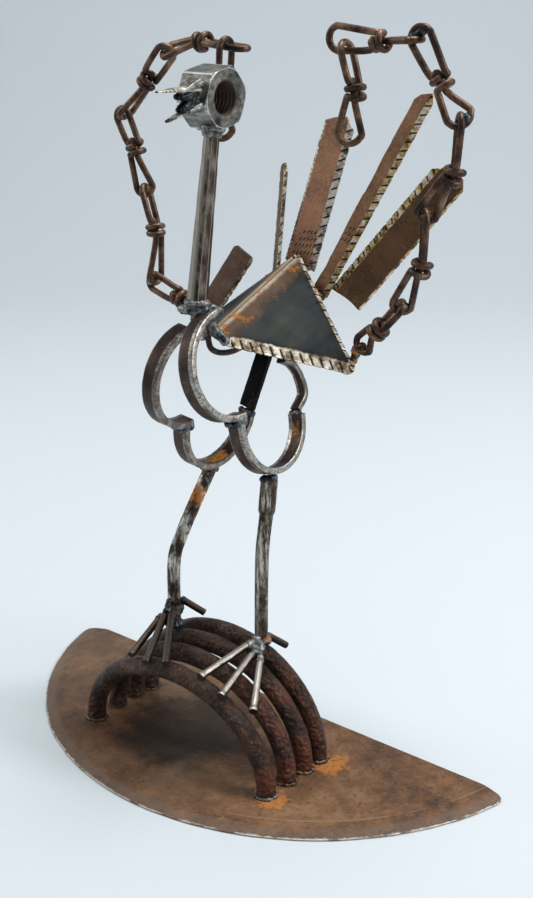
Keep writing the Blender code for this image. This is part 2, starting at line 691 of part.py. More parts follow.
def build_chain(name, joints, knots, loops, hanger):
    spots = [Vector((x, CHAIN_Y, z)) for x, z in joints]
    middles = [Vector((x, CHAIN_Y, z)) for x, z in knots]
    ends = [[spots[0]]]
    for k in range(len(middles) - 1):
        past = hook_overlap(middles[k], spots[k + 1], middles[k + 1], loops[k], loops[k + 1]) / 2
        ends[-1].append(spots[k + 1] + past)
        ends.append([spots[k + 1] - past])
    ends[-1].append(spots[-1])
    for k, knot in enumerate(middles):
        build_link(f"{name}_link_{k + 1}", ends[k][0], knot, ends[k][1], loops[k])
    share, knot, bottom, hanger_loops = hanger
    top = hook_point(middles[-1], spots[-1], loops[-1][1], loops[-1][3], share)
    points = [Vector((x, top.y, z)) for x, z in (bottom, knot)]
    build_link(f"{name}_link_{len(middles) + 1}", *points, top, hanger_loops)


def hook_overlap(knot_low, joint, knot_high, loops_low, loops_high):
    """From the end of the upper link's loop to the end of the lower link's, so that their wires just touch.
    Where the chain bends, the loop that lies in the bend holds the other's wire in its round end."""
    low_way, high_way = (joint - knot_low).normalized(), (knot_high - joint).normalized()
    half_low, half_high = loops_low[3], loops_high[2]
    touch = WIRE + JOINT_PLAY
    lower_holds = low_way * half_low - high_way * (half_low - touch)
    upper_holds = high_way * half_high - low_way * (half_high - touch)
    return upper_holds.lerp(lower_holds, math.cos(math.radians(loops_low[1])) ** 2)


clear_scene()
parts = new_collection("lyrebird_sculpture")
cutters = new_collection("cutters")
rusty = steel("rusty_plate", (0.16, 0.09, 0.055), 0.7, 0.5)
dark_rust = steel("spring_steel", (0.09, 0.06, 0.05), 0.55, 0.6)
bright = steel("worn_steel", (0.30, 0.28, 0.26), 0.38)
nail = steel("toe_steel", (0.32, 0.29, 0.27), 0.4)
flat_steel = steel("flat_bar", (0.25, 0.21, 0.19), 0.45)
black_steel = steel("black_bar", (0.02, 0.02, 0.02), 0.6)
blue_steel = steel("knife_section", (0.10, 0.11, 0.11), 0.35)
weld_steel = steel("weld", (0.22, 0.23, 0.25), 0.45)
blade_steel = steel("blade_strip", (0.22, 0.13, 0.09), 0.6, 0.6)
chain_steel = steel("chain", (0.20, 0.13, 0.10), 0.5, 0.7)

build_base()
build_springs()
thighs = {}
for body_side in (1, -1):
    build_leg(body_side)
    build_toes(body_side)
    thighs[body_side] = build_thigh(body_side)
    build_section(body_side)
build_braces(thighs[1], thighs[-1])
build_neck()
build_nut()
build_beak()
build_keel()
for feather in FEATHERS:
    build_feather(*feather)
build_chain("left", LEFT_JOINTS, LEFT_KNOTS, LEFT_LOOPS, LEFT_HANGER)
build_chain("right", RIGHT_JOINTS, RIGHT_KNOTS, RIGHT_LOOPS, RIGHT_HANGER)
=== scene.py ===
import math

import bmesh
import bpy
import numpy as np
from mathutils import Matrix, Vector


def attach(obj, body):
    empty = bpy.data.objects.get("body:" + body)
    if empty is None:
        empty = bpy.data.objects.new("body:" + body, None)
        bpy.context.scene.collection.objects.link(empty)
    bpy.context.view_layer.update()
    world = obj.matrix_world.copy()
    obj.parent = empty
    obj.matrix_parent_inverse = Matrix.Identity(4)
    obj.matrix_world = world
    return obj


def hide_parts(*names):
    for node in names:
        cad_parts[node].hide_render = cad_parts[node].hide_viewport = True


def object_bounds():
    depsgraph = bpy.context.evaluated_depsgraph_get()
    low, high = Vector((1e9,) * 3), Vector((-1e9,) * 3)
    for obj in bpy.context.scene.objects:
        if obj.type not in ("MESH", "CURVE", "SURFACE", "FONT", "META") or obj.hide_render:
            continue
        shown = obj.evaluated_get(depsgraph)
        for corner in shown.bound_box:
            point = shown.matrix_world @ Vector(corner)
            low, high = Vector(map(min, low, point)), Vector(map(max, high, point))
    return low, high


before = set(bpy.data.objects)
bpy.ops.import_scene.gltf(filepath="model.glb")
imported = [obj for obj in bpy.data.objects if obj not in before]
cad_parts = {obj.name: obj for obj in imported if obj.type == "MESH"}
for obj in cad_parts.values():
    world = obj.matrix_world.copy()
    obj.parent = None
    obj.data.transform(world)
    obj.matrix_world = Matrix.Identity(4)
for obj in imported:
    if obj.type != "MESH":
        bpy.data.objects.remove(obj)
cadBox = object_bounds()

# The bird faces -Y, its left side is +X, and the origin is under the middle of the base
gap = 0.0003  # between neighbouring pieces
middleX = -0.012


# Small helpers

def linear(red, green, blue):
    # a colour as a monitor shows it, 0 to 255, to the values that shaders use
    shown = (red / 255, green / 255, blue / 255)
    return tuple(c / 12.92 if c < 0.04045 else ((c + 0.055) / 1.055) ** 2.4 for c in shown)


def lattice(cells, seed):
    # one repeatable number from 0 to 1 for each whole cell
    x, y, z = np.moveaxis(cells, -1, 0)
    mixed = (x * 73856093) ^ (y * 19349663) ^ (z * 83492791) ^ (seed * 2654435)
    mixed = (mixed ^ (mixed >> 13)) * 1274126177
    return ((mixed ^ (mixed >> 16)) & 0xFFFFF) / float(0xFFFFF)


def smoothNoise(points, size, seed=0):
    # soft noise from 0 to 1, with bumps about one size across
    spots = np.asarray(points, float) / size
    cells = np.floor(spots).astype(np.int64)
    part = spots - cells
    part = part * part * (3 - 2 * part)
    total = 0
    for corner in range(8):
        shift = np.array([corner & 1, corner >> 1 & 1, corner >> 2 & 1])
        weight = np.prod(np.where(shift, part, 1 - part), axis=-1)
        total = total + weight * lattice(cells + shift, seed)
    return total


def roughNoise(points, size, seed=0):
    return sum(smoothNoise(points, size / 2 ** k, seed + k) * 0.5 ** (k + 1) for k in range(3)) / 0.875


def meshOf(name, verts, faces):
    mesh = bpy.data.meshes.new(name)
    mesh.from_pydata([tuple(v) for v in verts], [], [tuple(f) for f in faces])
    mesh.validate()
    return mesh


def settle(name, mesh, finishes, nodes, sharp):
    # the last step of every piece: finishes, shading, and what it rides on and stands for
    for finish in finishes:
        if finish.name not in mesh.materials:
            mesh.materials.append(finish)
    spots = np.zeros(len(mesh.vertices) * 3, np.float32)
    mesh.vertices.foreach_get("co", spots)
    spots = np.clip(spots.reshape(-1, 3), np.array(cadBox[0]), np.array(cadBox[1]))
    mesh.vertices.foreach_set("co", spots.ravel())
    mesh.shade_smooth()
    mesh.set_sharp_from_angle(angle=math.radians(sharp))
    piece = bpy.data.objects.new(name, mesh)
    bpy.context.scene.collection.objects.link(piece)
    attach(piece, "root")
    if nodes:
        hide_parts(*nodes)
    return piece


def paint(mesh, name, values):
    layer = mesh.attributes.new(name, "FLOAT", "POINT")
    layer.data.foreach_set("value", np.asarray(values, np.float32).ravel())


def gridFaces(rows, columns, start=0, around=False, flip=False):
    faces = []
    for r in range(rows - 1):
        for c in range(columns if around else columns - 1):
            d = (c + 1) % columns
            quad = [start + r * columns + c, start + r * columns + d,
                    start + (r + 1) * columns + d, start + (r + 1) * columns + c]
            faces.append(quad[::-1] if flip else quad)
    return faces


def smoothPath(points, steps):
    pts = [Vector(p) for p in points]
    ends = [2 * pts[0] - pts[1]] + pts + [2 * pts[-1] - pts[-2]]
    path = []
    for i in range(1, len(ends) - 2):
        before, start, stop, after = ends[i - 1:i + 3]
        for k in range(steps):
            t = k / steps
            path.append(0.5 * (2 * start + (stop - before) * t
                               + (2 * before - 5 * start + 4 * stop - after) * t * t
                               + (3 * start - before - 3 * stop + after) * t ** 3))
    return path + [pts[-1]]


def arcPoints(centre, radius, start, stop, steps):
    turns = [math.radians(start + (stop - start) * k / steps) for k in range(steps + 1)]
    return [Vector((centre[0] + radius * math.cos(a), centre[1] + radius * math.sin(a))) for a in turns]


def frameAt(origin, along, upHint):
    yAxis = Vector(along).normalized()
    xAxis = yAxis.cross(Vector(upHint)).normalized()
    turn = Matrix((xAxis, yAxis, xAxis.cross(yAxis))).transposed().to_4x4()
    return Matrix.Translation(origin) @ turn


def placed(points, place):
    turn = np.array(place)
    return points @ turn[:3, :3].T + turn[:3, 3]


def tubeFaces(rows, count):
    last = (rows - 1) * count
    caps = [list(range(count))[::-1], list(range(last, last + count))]
    return gridFaces(rows, count, around=True) + caps


def turnOutwards(mesh):
    shell = bmesh.new()
    shell.from_mesh(mesh)
    bmesh.ops.recalc_face_normals(shell, faces=shell.faces)
    shell.to_mesh(mesh)
    shell.free()


def beside(spot, *shifts):
    return [spot + Vector(shift) for shift in shifts]


# Shader maths as plain expressions

class Wire:
    def __init__(self, tree, socket):
        self.tree = tree
        self.socket = socket

    def maths(self, operation, *values):
        node = self.tree.nodes.new("ShaderNodeMath")
        node.operation = operation
        for socket, value in zip(node.inputs, values):
            if isinstance(value, Wire):
                self.tree.links.new(value.socket, socket)
            else:
                socket.default_value = value
        return Wire(self.tree, node.outputs[0])

    def __add__(self, other):
        return self.maths("ADD", self, other)

    def __radd__(self, other):
        return self.maths("ADD", other, self)

    def __sub__(self, other):
        return self.maths("SUBTRACT", self, other)

    def __rsub__(self, other):
        return self.maths("SUBTRACT", other, self)

    def __mul__(self, other):
        return self.maths("MULTIPLY", self, other)

    def __rmul__(self, other):
        return self.maths("MULTIPLY", other, self)

    def __truediv__(self, other):
        return self.maths("DIVIDE", self, other)

    def larger(self, other):
        return self.maths("MAXIMUM", self, other)


class Finish:
    def __init__(self, name, metallic=0.8, roughness=0.5):
        self.material = bpy.data.materials.new(name)
        self.material.use_nodes = True
        self.tree = self.material.node_tree
        self.shader = self.tree.nodes["Principled BSDF"]
        self.shader.inputs["Metallic"].default_value = metallic
        self.shader.inputs["Roughness"].default_value = roughness
        self.spot = self.node("ShaderNodeTexCoord", out="Object")

    def node(self, kind, inputs=None, out=0, stops=None, **settings):
        node = self.tree.nodes.new(kind)
        for key, value in settings.items():
            setattr(node, key, value)
        if stops:
            ramp = node.color_ramp
            while len(ramp.elements) < len(stops):
                ramp.elements.new(0.5)
            for element, (place, colour) in zip(ramp.elements, stops):
                element.position = place
                element.color = (*colour, 1)
        for key, value in (inputs or {}).items():
            if isinstance(value, Wire):
                self.tree.links.new(value.socket, node.inputs[key])
            else:
                node.inputs[key].default_value = value
        return Wire(self.tree, node.outputs[out])

    def noise(self, scale, detail=4, rough=0.6, stretch=None, distort=0):
        where = self.spot
        if stretch:
            where = self.node("ShaderNodeMapping", {"Vector": self.spot, "Scale": stretch})
        return self.node("ShaderNodeTexNoise", {"Vector": where, "Scale": scale, "Detail": detail,
                                                "Roughness": rough, "Distortion": distort})

    def rise(self, value, low, high):
        return self.node("ShaderNodeMapRange", {"Value": value, "From Min": low, "From Max": high},
                         interpolation_type="SMOOTHSTEP")

    def ramp(self, value, *stops):
        return self.node("ShaderNodeValToRGB", {"Fac": value}, out="Color", stops=stops)

    def mix(self, mask, low, high):
        low, high = [(*c, 1) if isinstance(c, tuple) and len(c) == 3 else c for c in (low, high)]
        return self.node("ShaderNodeMix", {0: mask, 6: low, 7: high}, out=2, data_type="RGBA")

    def painted(self, name):
        return self.node("ShaderNodeAttribute", out="Fac", attribute_name=name)

    def part(self, axis, vector=None):
        return self.node("ShaderNodeSeparateXYZ", {"Vector": vector or self.spot}, out=axis)

    def facing(self, axis):
        return self.part(axis, self.node("ShaderNodeNewGeometry", out="Normal"))

    def near(self, point, reach, wobble=0.4, size=150):
        # 1 at a point, falling to 0 at its reach, with an uneven border
        far = self.node("ShaderNodeVectorMath", {0: self.spot, 1: tuple(point)}, out="Value",
                        operation="DISTANCE")
        return 1 - self.rise(far / reach + (self.noise(size, 3) - 0.5) * wobble * 2, 0.55, 1)

    def heated(self, spots, wobble, size):
        # patches round the given places
        heat = self.near(*spots[0], wobble, size)
        for place, reach in spots[1:]:
            heat = heat.larger(self.near(place, reach, wobble, size))
        return heat

    def close(self, colour=None, roughness=None, metallic=None, height=None, depth=0.0003):
        inputs = {"Base Color": colour, "Roughness": roughness, "Metallic": metallic}
        for key, value in inputs.items():
            if isinstance(value, Wire):
                self.tree.links.new(value.socket, self.shader.inputs[key])
            elif value is not None:
                self.shader.inputs[key].default_value = value
        if height is not None:
            bump = self.node("ShaderNodeBump", {"Height": height, "Distance": depth})
            self.tree.links.new(bump.socket, self.shader.inputs["Normal"])
        return self.material


rustOrange = linear(190, 120, 46)


def finishPlate():
    f = Finish("rustyPlate")
    x = f.part("X")
    fromDisc = f.node("ShaderNodeVectorMath", {0: f.spot, 1: (0, base["centreY"], 0)}, out="Value",
                      operation="DISTANCE")
    inset = base["radius"] - fromDisc
    clouds, grain = f.noise(14, 6, 0.62), f.noise(420, 5, 0.7)
    blots = f.noise(85, 6, 0.7, distort=0.3)
    colour = f.ramp(clouds * 0.45 + blots * 0.35 + grain * 0.2,
                    (0.38, linear(62, 41, 27)), (0.47, linear(104, 71, 46)), (0.55, linear(134, 95, 62)),
                    (0.66, linear(156, 124, 96)))
    # painted shadow under the arches of the spring bars: the plate is darkened here to stand in for their
    # shade
    archShadow = f.near((-0.022, 0.010, 0), 0.062, 0.5, 60)
    colour = f.mix(archShadow * 0.78, colour, linear(34, 24, 19))
    greyer = f.rise(f.noise(9, 3) - x * 1.2, 0.52, 0.66) * (1 - archShadow)
    colour = f.mix(greyer * 0.35, colour, linear(104, 92, 80))
    freckle = f.rise(f.noise(230, 4, 0.7), 0.58, 0.66)
    colour = f.mix(freckle * 0.6, colour, linear(46, 31, 24))
    fleck = f.rise(f.noise(1100, 2), 0.64, 0.72)
    colour = f.mix(fleck * 0.5, colour, linear(176, 158, 138))
    bevelBand = 1 - f.rise(inset + (blots - 0.5) * 0.008, 0.0065, 0.0100)
    colour = f.mix(bevelBand * (0.25 + grain * 0.4), colour, linear(112, 100, 90))
    line = f.rise(inset, 0.0160, 0.0166) * (1 - f.rise(inset, 0.0170, 0.0176)) * f.rise(x, 0.05, 0.09)
    colour = f.mix(line * f.rise(clouds, 0.4, 0.5) * 0.8, colour, linear(140, 128, 116))
    rim = (1 - f.rise(inset + (f.noise(260, 4) - 0.5) * 0.0034, 0.0006, 0.0016))
    rim = rim * f.rise(f.noise(60, 3), 0.36, 0.50)
    colour = f.mix(rim * 0.9, colour, linear(206, 200, 190))
    blooms = f.near((0.0785, -0.0235, 0.003), 0.0125, 0.9, 220)
    blooms = blooms.larger(f.near((0.0835, 0.036, 0.003), 0.0150, 0.9, 200))
    colour = f.mix(blooms * f.rise(grain, 0.38, 0.5) * 0.85, colour, rustOrange)
    rough = 0.44 + grain * 0.28 + blooms * 0.25 - rim * 0.15
    metal = 0.35 + rim * 0.5 - blooms * 0.35
    return f.close(colour, rough, metal, grain * 0.9 + blots * 1.2 + rim * 0.5, 0.0010)


def finishSpring():
    f = Finish("pittedSpring")
    clouds, grain = f.noise(42, 5, 0.65), f.noise(480, 5, 0.75)
    pits = f.node("ShaderNodeTexVoronoi", {"Vector": f.spot, "Scale": 300})
    redder = f.rise(f.part("X"), 0.01, 0.07)
    colour = f.ramp(clouds * 0.5 + grain * 0.5, (0.39, linear(30, 22, 20)), (0.48, linear(62, 45, 37)),
                    (0.56, linear(94, 70, 57)), (0.67, linear(146, 122, 104)))
    colour = f.mix(redder * f.rise(clouds, 0.42, 0.56) * 0.55, colour, linear(112, 58, 36))
    # small smooth, more metallic spots whose lighter colour is also a painted glint
    glossAndGlint = f.rise(f.noise(560, 3), 0.62, 0.70)
    colour = f.mix(glossAndGlint * 0.45, colour, linear(140, 124, 112))
    # patches on upward faces are mixed lighter
    upwardPatches = f.rise(f.facing("Z"), 0.3, 0.95) * f.rise(f.noise(70, 4), 0.42, 0.6)
    colour = f.mix(upwardPatches * 0.3, colour, linear(120, 98, 84))
    return f.close(colour, 0.42 - glossAndGlint * 0.20 + clouds * 0.1, 0.55 + glossAndGlint * 0.3,
                   grain * 1.2 + pits * 1.2 + clouds, 0.0016)


def finishRod(name, streak, stain, orangeSpots=(), corners=False):
    # drawn bar: bright streaks along it, partly bare metal and partly a painted highlight, brown where the
    # scale is left, orange where it was heated
    f = Finish(name, 0.85)
    along = f.noise(130, 4, 0.6, stretch=(1, 1, 0.07))
    fine = f.noise(640, 4, 0.7, stretch=(1, 1, 0.2))
    grain, blot = f.noise(520, 4, 0.7), f.noise(95, 5, 0.65, stretch=(1, 1, 0.5))
    colour = f.ramp(blot * 0.7 + grain * 0.3, (0.40, linear(30, 24, 22)), (0.49, linear(70, 57, 48)),
                    (0.60, linear(122, 110, 98)))
    # the streaks are smoother and more metallic, and their light colour is also a painted highlight
    shine = f.rise(along * 0.7 + fine * 0.3, streak - 0.03, streak + 0.07)
    shine = shine * f.rise(blot, stain - 0.1, stain + 0.03)
    colour = f.mix(shine, colour, linear(206, 200, 190))
    if corners:
        # facets turned to the camera's left are painted light grey as painted light, those turned to its
        # right dark brown as painted shade, mottled between
        left = f.painted("paintedLitSide")
        colour = f.mix(f.rise(left, 0.58, 0.76) * 0.85, colour, linear(164, 158, 148))
        colour = f.mix(f.rise(blot, 0.50, 0.62) * 0.7, colour, linear(120, 108, 96))
        colour = f.mix(f.rise(left, 0.42, 0.20) * 0.85, colour, linear(66, 48, 40))
        shine = shine.larger(f.rise(f.painted("corner") + (blot - 0.5) * 0.8, 0.55, 0.85))
        colour = f.mix(shine, colour, linear(172, 164, 152))
    rough = 0.46 - shine * 0.16 + grain * 0.1
    metal = 0.7 + shine * 0.25
    if orangeSpots:
        heat = f.heated(orangeSpots, 0.8, 210)
        colour = f.mix(heat * f.rise(grain, 0.4, 0.5), colour, rustOrange)
        rough += heat * 0.3
        metal -= heat * 0.5
    return f.close(colour, rough, metal, along * 0.6 + fine * 0.4 + blot * 0.6 + grain * 0.3, 0.0005)


def finishToe(name, top):
    f = Finish(name, 0.85)
    grain, blot = f.noise(600, 4, 0.7), f.noise(110, 4, 0.6)
    # upward faces take the top colour: a painted highlight from the light above
    up = f.rise(f.facing("Z") * 0.6 + blot * 0.7, 0.45, 0.85)
    colour = f.mix(up, linear(42, 32, 28), top)
    colour = f.mix(f.rise(grain, 0.58, 0.68) * 0.6, colour, linear(58, 44, 38))
    return f.close(colour, 0.5 - up * 0.18 + grain * 0.1, 0.6 + up * 0.35, grain + blot, 0.0003)


def finishFlatFace(rustSpots):
    f = Finish("flatBarFace", 0.6)
    clouds, grain = f.noise(55, 5, 0.65), f.noise(560, 5, 0.7)
    colour = f.ramp(clouds * 0.65 + grain * 0.35, (0.38, linear(36, 28, 26)), (0.49, linear(64, 49, 44)),
                    (0.58, linear(88, 71, 64)), (0.70, linear(138, 126, 116)))
    heat = f.heated(rustSpots, 0.9, 260)
    colour = f.mix(heat * f.rise(grain, 0.40, 0.48), colour, linear(206, 134, 44))
    return f.close(colour, 0.40 + grain * 0.22 + heat * 0.3, 0.7 - heat * 0.5, grain + clouds * 0.5, 0.0003)


def finishGroundEdge(name, dull):
    f = Finish(name, 0.95 - dull * 0.3)
    strokes = f.noise(900, 3, 0.6, stretch=(0.3, 1, 1))
    blot = f.noise(120, 4, 0.6)
    colour = f.ramp(strokes * 0.5 + blot * 0.5, (0.36, linear(92, 84, 76)), (0.48, linear(150, 144, 136)),
                    (0.60, linear(198, 194, 188)))
    colour = f.mix(f.rise(blot, 0.54 - dull * 0.12, 0.64 - dull * 0.1) * 0.8, colour, linear(74, 58, 50))
    return f.close(colour, 0.30 + strokes * 0.2, None, strokes + blot * 0.3, 0.00012)


def finishBlackBar():
    f = Finish("blackBar", 0.1)
    f.shader.inputs["Specular IOR Level"].default_value = 0.15
    grain, blot = f.noise(500, 4, 0.7), f.noise(130, 5, 0.65)
    low = f.near((-0.030, 0.066, 0.236), 0.017, 0.8, 160)
    chips = (f.rise(blot, 0.60, 0.66) * 0.5).larger(low)
    colour = f.mix(chips, linear(6, 6, 7), linear(78, 54, 42))
    return f.close(colour, 0.72 + grain * 0.2, chips * 0.5, grain + blot, 0.0004)


def finishKnife():
    # painted parts: bevel, groove, ridge and plain nose
    f = Finish("knifePlate", 0.8)
    f.shader.inputs["Specular IOR Level"].default_value = 0.08
    bevel, groove = f.painted("bevel"), f.painted("groove")
    ridge, nose = f.painted("ridge"), f.painted("nose")
    clouds, grain = f.noise(26, 5, 0.6), f.noise(480, 5, 0.7)
    swipe = f.noise(90, 4, 0.6, stretch=(1, 0.2, 0.3))
    face = f.ramp(clouds * 0.65 + swipe * 0.35, (0.38, linear(24, 30, 32)), (0.48, linear(38, 45, 46)),
                  (0.57, linear(54, 55, 50)), (0.70, linear(84, 78, 68)))
    bloom = f.rise(f.noise(20, 4, 0.6) + ridge * 0.30, 0.50, 0.66)
    face = f.mix(bloom * 0.75, face, linear(66, 51, 38))
    wornRidge = f.rise(ridge + (f.noise(110, 5, 0.7) - 0.5) * 1.1, 0.28, 0.72)
    face = f.mix(wornRidge * 0.8, face, linear(104, 84, 66))
    crest = f.rise(ridge + (f.noise(150, 5, 0.7) - 0.5) * 0.35, 0.80, 0.98)
    face = f.mix(crest * 0.75, face, linear(178, 166, 148))
    face = f.mix(f.rise(nose + (grain - 0.5) * 0.5, 0.4, 0.6) * 0.85, face, linear(84, 64, 54))
    ground = f.ramp(f.noise(140, 5, 0.7), (0.38, linear(100, 84, 64)), (0.48, linear(166, 152, 130)),
                    (0.57, linear(222, 216, 204)))
    worn = f.rise(bevel + (f.noise(170, 5, 0.7) - 0.5) * 0.55, 0.12, 0.34)
    colour = f.mix(worn, face, ground)
    rust = f.rise(f.noise(130, 5, 0.7), 0.57, 0.62) * (wornRidge * 0.9).larger(worn * 0.7)
    colour = f.mix(rust * 0.85, colour, rustOrange)
    # the cuts are filled nearly black: painted shade inside the grooves
    colour = f.mix(f.rise(groove, 0.15, 0.6) * 0.96, colour, linear(26, 22, 20))
    rough = 0.40 + clouds * 0.16 + worn * 0.04 + rust * 0.2 + wornRidge * 0.15
    metal = 0.06 + worn * 0.7 + crest * 0.5 - rust * 0.06
    height = grain * 0.4 + swipe * 0.4 + f.noise(140, 5, 0.7) * worn * 2
    return f.close(colour, rough, metal, height, 0.00025)


def finishBlade(name, face, tint, shine):
    f = Finish(name, 0.55)
    bevel, groove = f.painted("bevel"), f.painted("groove")
    clouds, grain = f.noise(48, 5, 0.6), f.noise(620, 5, 0.7)
    dark = tuple(c * 0.42 for c in face)
    light = tuple(min(c * 1.4, 1) for c in face)
    colour = f.ramp(clouds * 0.5 + grain * 0.5, (0.38, dark), (0.50, face), (0.64, light))
    worn = f.rise(f.noise(75, 5, 0.65), 0.58, 0.68)
    colour = f.mix(worn * shine * 0.4, colour, linear(150, 132, 116))
    ground = f.ramp(f.noise(170, 5, 0.7), (0.40, tuple(c * 0.22 for c in tint)), (0.49, tint),
                    (0.58, linear(228, 220, 204)))
    bared = f.rise(bevel + (f.noise(210, 4, 0.65) - 0.5) * 0.5, 0.16, 0.26)
    colour = f.mix(bared, colour, ground)
    # the cuts and stamp strokes are filled nearly black: painted shade inside them
    colour = f.mix(f.rise(groove, 0.15, 0.6) * 0.96, colour, linear(30, 22, 18))
    rough = 0.58 + grain * 0.15 - bared * 0.24 - worn * 0.1
    height = grain + clouds * 0.4 + f.noise(170, 5, 0.7) * bared * 2
    return f.close(colour, rough, 0.45 + bared * 0.45, height, 0.00035)


def finishChain():
    f = Finish("chainWire", 0.6)
    clouds, grain = f.noise(60, 4, 0.6), f.noise(700, 4, 0.7)
    colour = f.ramp(clouds * 0.7 + grain * 0.3, (0.40, linear(40, 29, 24)), (0.49, linear(82, 59, 46)),
                    (0.57, linear(116, 86, 66)), (0.68, linear(160, 132, 108)))
    # upward faces painted lighter: a painted highlight from the light above
    top = f.rise(f.facing("Z") * 0.5 + clouds, 0.55, 1.0)
    colour = f.mix(top * 0.4, colour, linear(150, 126, 106))
    return f.close(colour, 0.36 + grain * 0.16, 0.7, grain + clouds * 0.3, 0.00018)


def finishNut():
    f = Finish("nutSteel", 0.95)
    brush = f.noise(260, 5, 0.65, stretch=(0.35, 1, 1))
    blot, grain = f.noise(70, 5, 0.65), f.noise(620, 4, 0.7)
    colour = f.ramp(brush * 0.5 + blot * 0.5, (0.38, linear(56, 56, 54)), (0.48, linear(108, 108, 103)),
                    (0.57, linear(146, 144, 138)), (0.70, linear(200, 197, 190)))
    inside = f.painted("bore")
    corner = f.rise(f.painted("corner") + (blot - 0.5) * 0.7, 0.5, 0.9)
    colour = f.mix(corner * 0.85, colour, linear(206, 204, 198))
    colour = f.mix(inside * (0.75 + blot * 0.3), colour, linear(66, 46, 37))
    scuff = f.rise(f.noise(180, 5, 0.7), 0.60, 0.68)
    colour = f.mix(scuff * 0.5, colour, linear(72, 66, 62))
    return f.close(colour, 0.36 + grain * 0.14 + inside * 0.2, 0.93 - inside * 0.35,
                   brush * 0.5 + grain * 0.4 + blot * 0.5, 0.0003)


def finishWeld(name, low, high, rustShare):
    f = Finish(name, 0.85)
    clouds, grain = f.noise(190, 5, 0.65), f.noise(800, 4, 0.7)
    colour = f.ramp(clouds, (0.38, low), (0.50, tuple((a + b) / 2 for a, b in zip(low, high))), (0.62, high))
    rust = f.rise(f.noise(120, 4, 0.65), 0.72 - rustShare, 0.78 - rustShare)
    colour = f.mix(rust, colour, rustOrange)
    return f.close(colour, 0.34 + grain * 0.14 + rust * 0.35, 0.9 - rust * 0.7, clouds + grain * 0.5, 0.0004)


# Geometry Nodes: a bar swept along a curve, and beads of weld laid along one

class Maker:
    def __init__(self, name, inputs):
        self.group = bpy.data.node_groups.new(name, "GeometryNodeTree")
        face = self.group.interface
        face.new_socket("Geometry", in_out="INPUT", socket_type="NodeSocketGeometry")
        for label, kind, value in inputs:
            socket = face.new_socket(label, in_out="INPUT", socket_type="NodeSocket" + kind)
            if value is not None:
                socket.default_value = value
        face.new_socket("Geometry", in_out="OUTPUT", socket_type="NodeSocketGeometry")
        self.start = self.group.nodes.new("NodeGroupInput")
        self.end = self.group.nodes.new("NodeGroupOutput")

    def node(self, kind, inputs=None, **settings):
        node = self.group.nodes.new(kind)
        for key, value in settings.items():
            setattr(node, key, value)
        for key, value in (inputs or {}).items():
            if isinstance(value, bpy.types.NodeSocket):
                self.group.links.new(value, node.inputs[key])
            else:
                node.inputs[key].default_value = value
        return node

    def finish(self, geometry):
        smooth = self.node("GeometryNodeSetShadeSmooth", {"Geometry": geometry})
        real = self.node("GeometryNodeRealizeInstances", {"Geometry": smooth.outputs[0]})
        coat = self.node("GeometryNodeSetMaterial", {"Geometry": real.outputs[0],
                                                     "Material": self.start.outputs["Finish"]})
        self.group.links.new(coat.outputs[0], self.end.inputs[0])
        return self.group


def barMaker():
    m = Maker("Swept bar", (
        ("Bar Radius", "Float", 0.005), ("Sides", "Int", 16), ("Step", "Float", 0.001),
        ("Pit Depth", "Float", 0.0002), ("Pit Size", "Float", 200.0), ("Seed", "Float", 0.0),
        ("Finish", "Material", None)))
    s = m.start.outputs
    even = m.node("GeometryNodeResampleCurve", {"Curve": s["Geometry"], "Length": s["Step"]}, mode="LENGTH")
    ring = m.node("GeometryNodeCurvePrimitiveCircle", {"Resolution": s["Sides"], "Radius": s["Bar Radius"]})
    swept = m.node("GeometryNodeCurveToMesh", {
        "Curve": even.outputs[0], "Profile Curve": ring.outputs[0],
        "Scale": m.node("GeometryNodeInputRadius").outputs[0], "Fill Caps": True})
    pits = m.node("ShaderNodeTexNoise", {"W": s["Seed"], "Scale": s["Pit Size"], "Detail": 3.0},
                  noise_dimensions="4D")
    depth = m.node("ShaderNodeMath", {0: pits.outputs[0], 1: s["Pit Depth"]}, operation="MULTIPLY")
    inward = m.node("ShaderNodeMath", {0: depth.outputs[0], 1: -1.0}, operation="MULTIPLY")
    push = m.node("ShaderNodeVectorMath", {0: m.node("GeometryNodeInputNormal").outputs[0],
                                           "Scale": inward.outputs[0]}, operation="SCALE")
    pitted = m.node("GeometryNodeSetPosition", {"Geometry": swept.outputs[0], "Offset": push.outputs[0]})
    return m.finish(pitted.outputs[0])


def beadMaker():
    m = Maker("Weld beads", (
        ("Bead Radius", "Float", 0.003), ("Step", "Float", 0.002), ("Uneven", "Float", 0.3),
        ("Seed", "Int", 0), ("Finish", "Material", None)))
    s = m.start.outputs
    even = m.node("GeometryNodeResampleCurve", {"Curve": s["Geometry"], "Length": s["Step"]}, mode="LENGTH")
    ball = m.node("GeometryNodeMeshIcoSphere", {"Radius": s["Bead Radius"], "Subdivisions": 3})
    least = m.node("ShaderNodeMath", {0: 1.0, 1: s["Uneven"]}, operation="SUBTRACT")
    size = m.node("FunctionNodeRandomValue", {2: least.outputs[0], 3: 1.0, "Seed": s["Seed"]})
    scaled = m.node("ShaderNodeMath", {0: size.outputs[1], 1: m.node("GeometryNodeInputRadius").outputs[0]},
                    operation="MULTIPLY")
    laid = m.node("GeometryNodeInstanceOnPoints", {"Points": even.outputs[0], "Instance": ball.outputs[0],
                                                   "Scale": scaled.outputs[0]})
    return m.finish(laid.outputs[0])


def curveOf(name, lines, radii=None):
    curve = bpy.data.curves.new(name, "CURVE")
    curve.dimensions = "3D"
    for number, points in enumerate(lines):
        spline = curve.splines.new("POLY")
        spline.points.add(len(points) - 1)
        for k, (spot, point) in enumerate(zip(spline.points, points)):
            spot.co = (*point, 1)
            spot.radius = radii[number][k] if radii else 1
    return curve


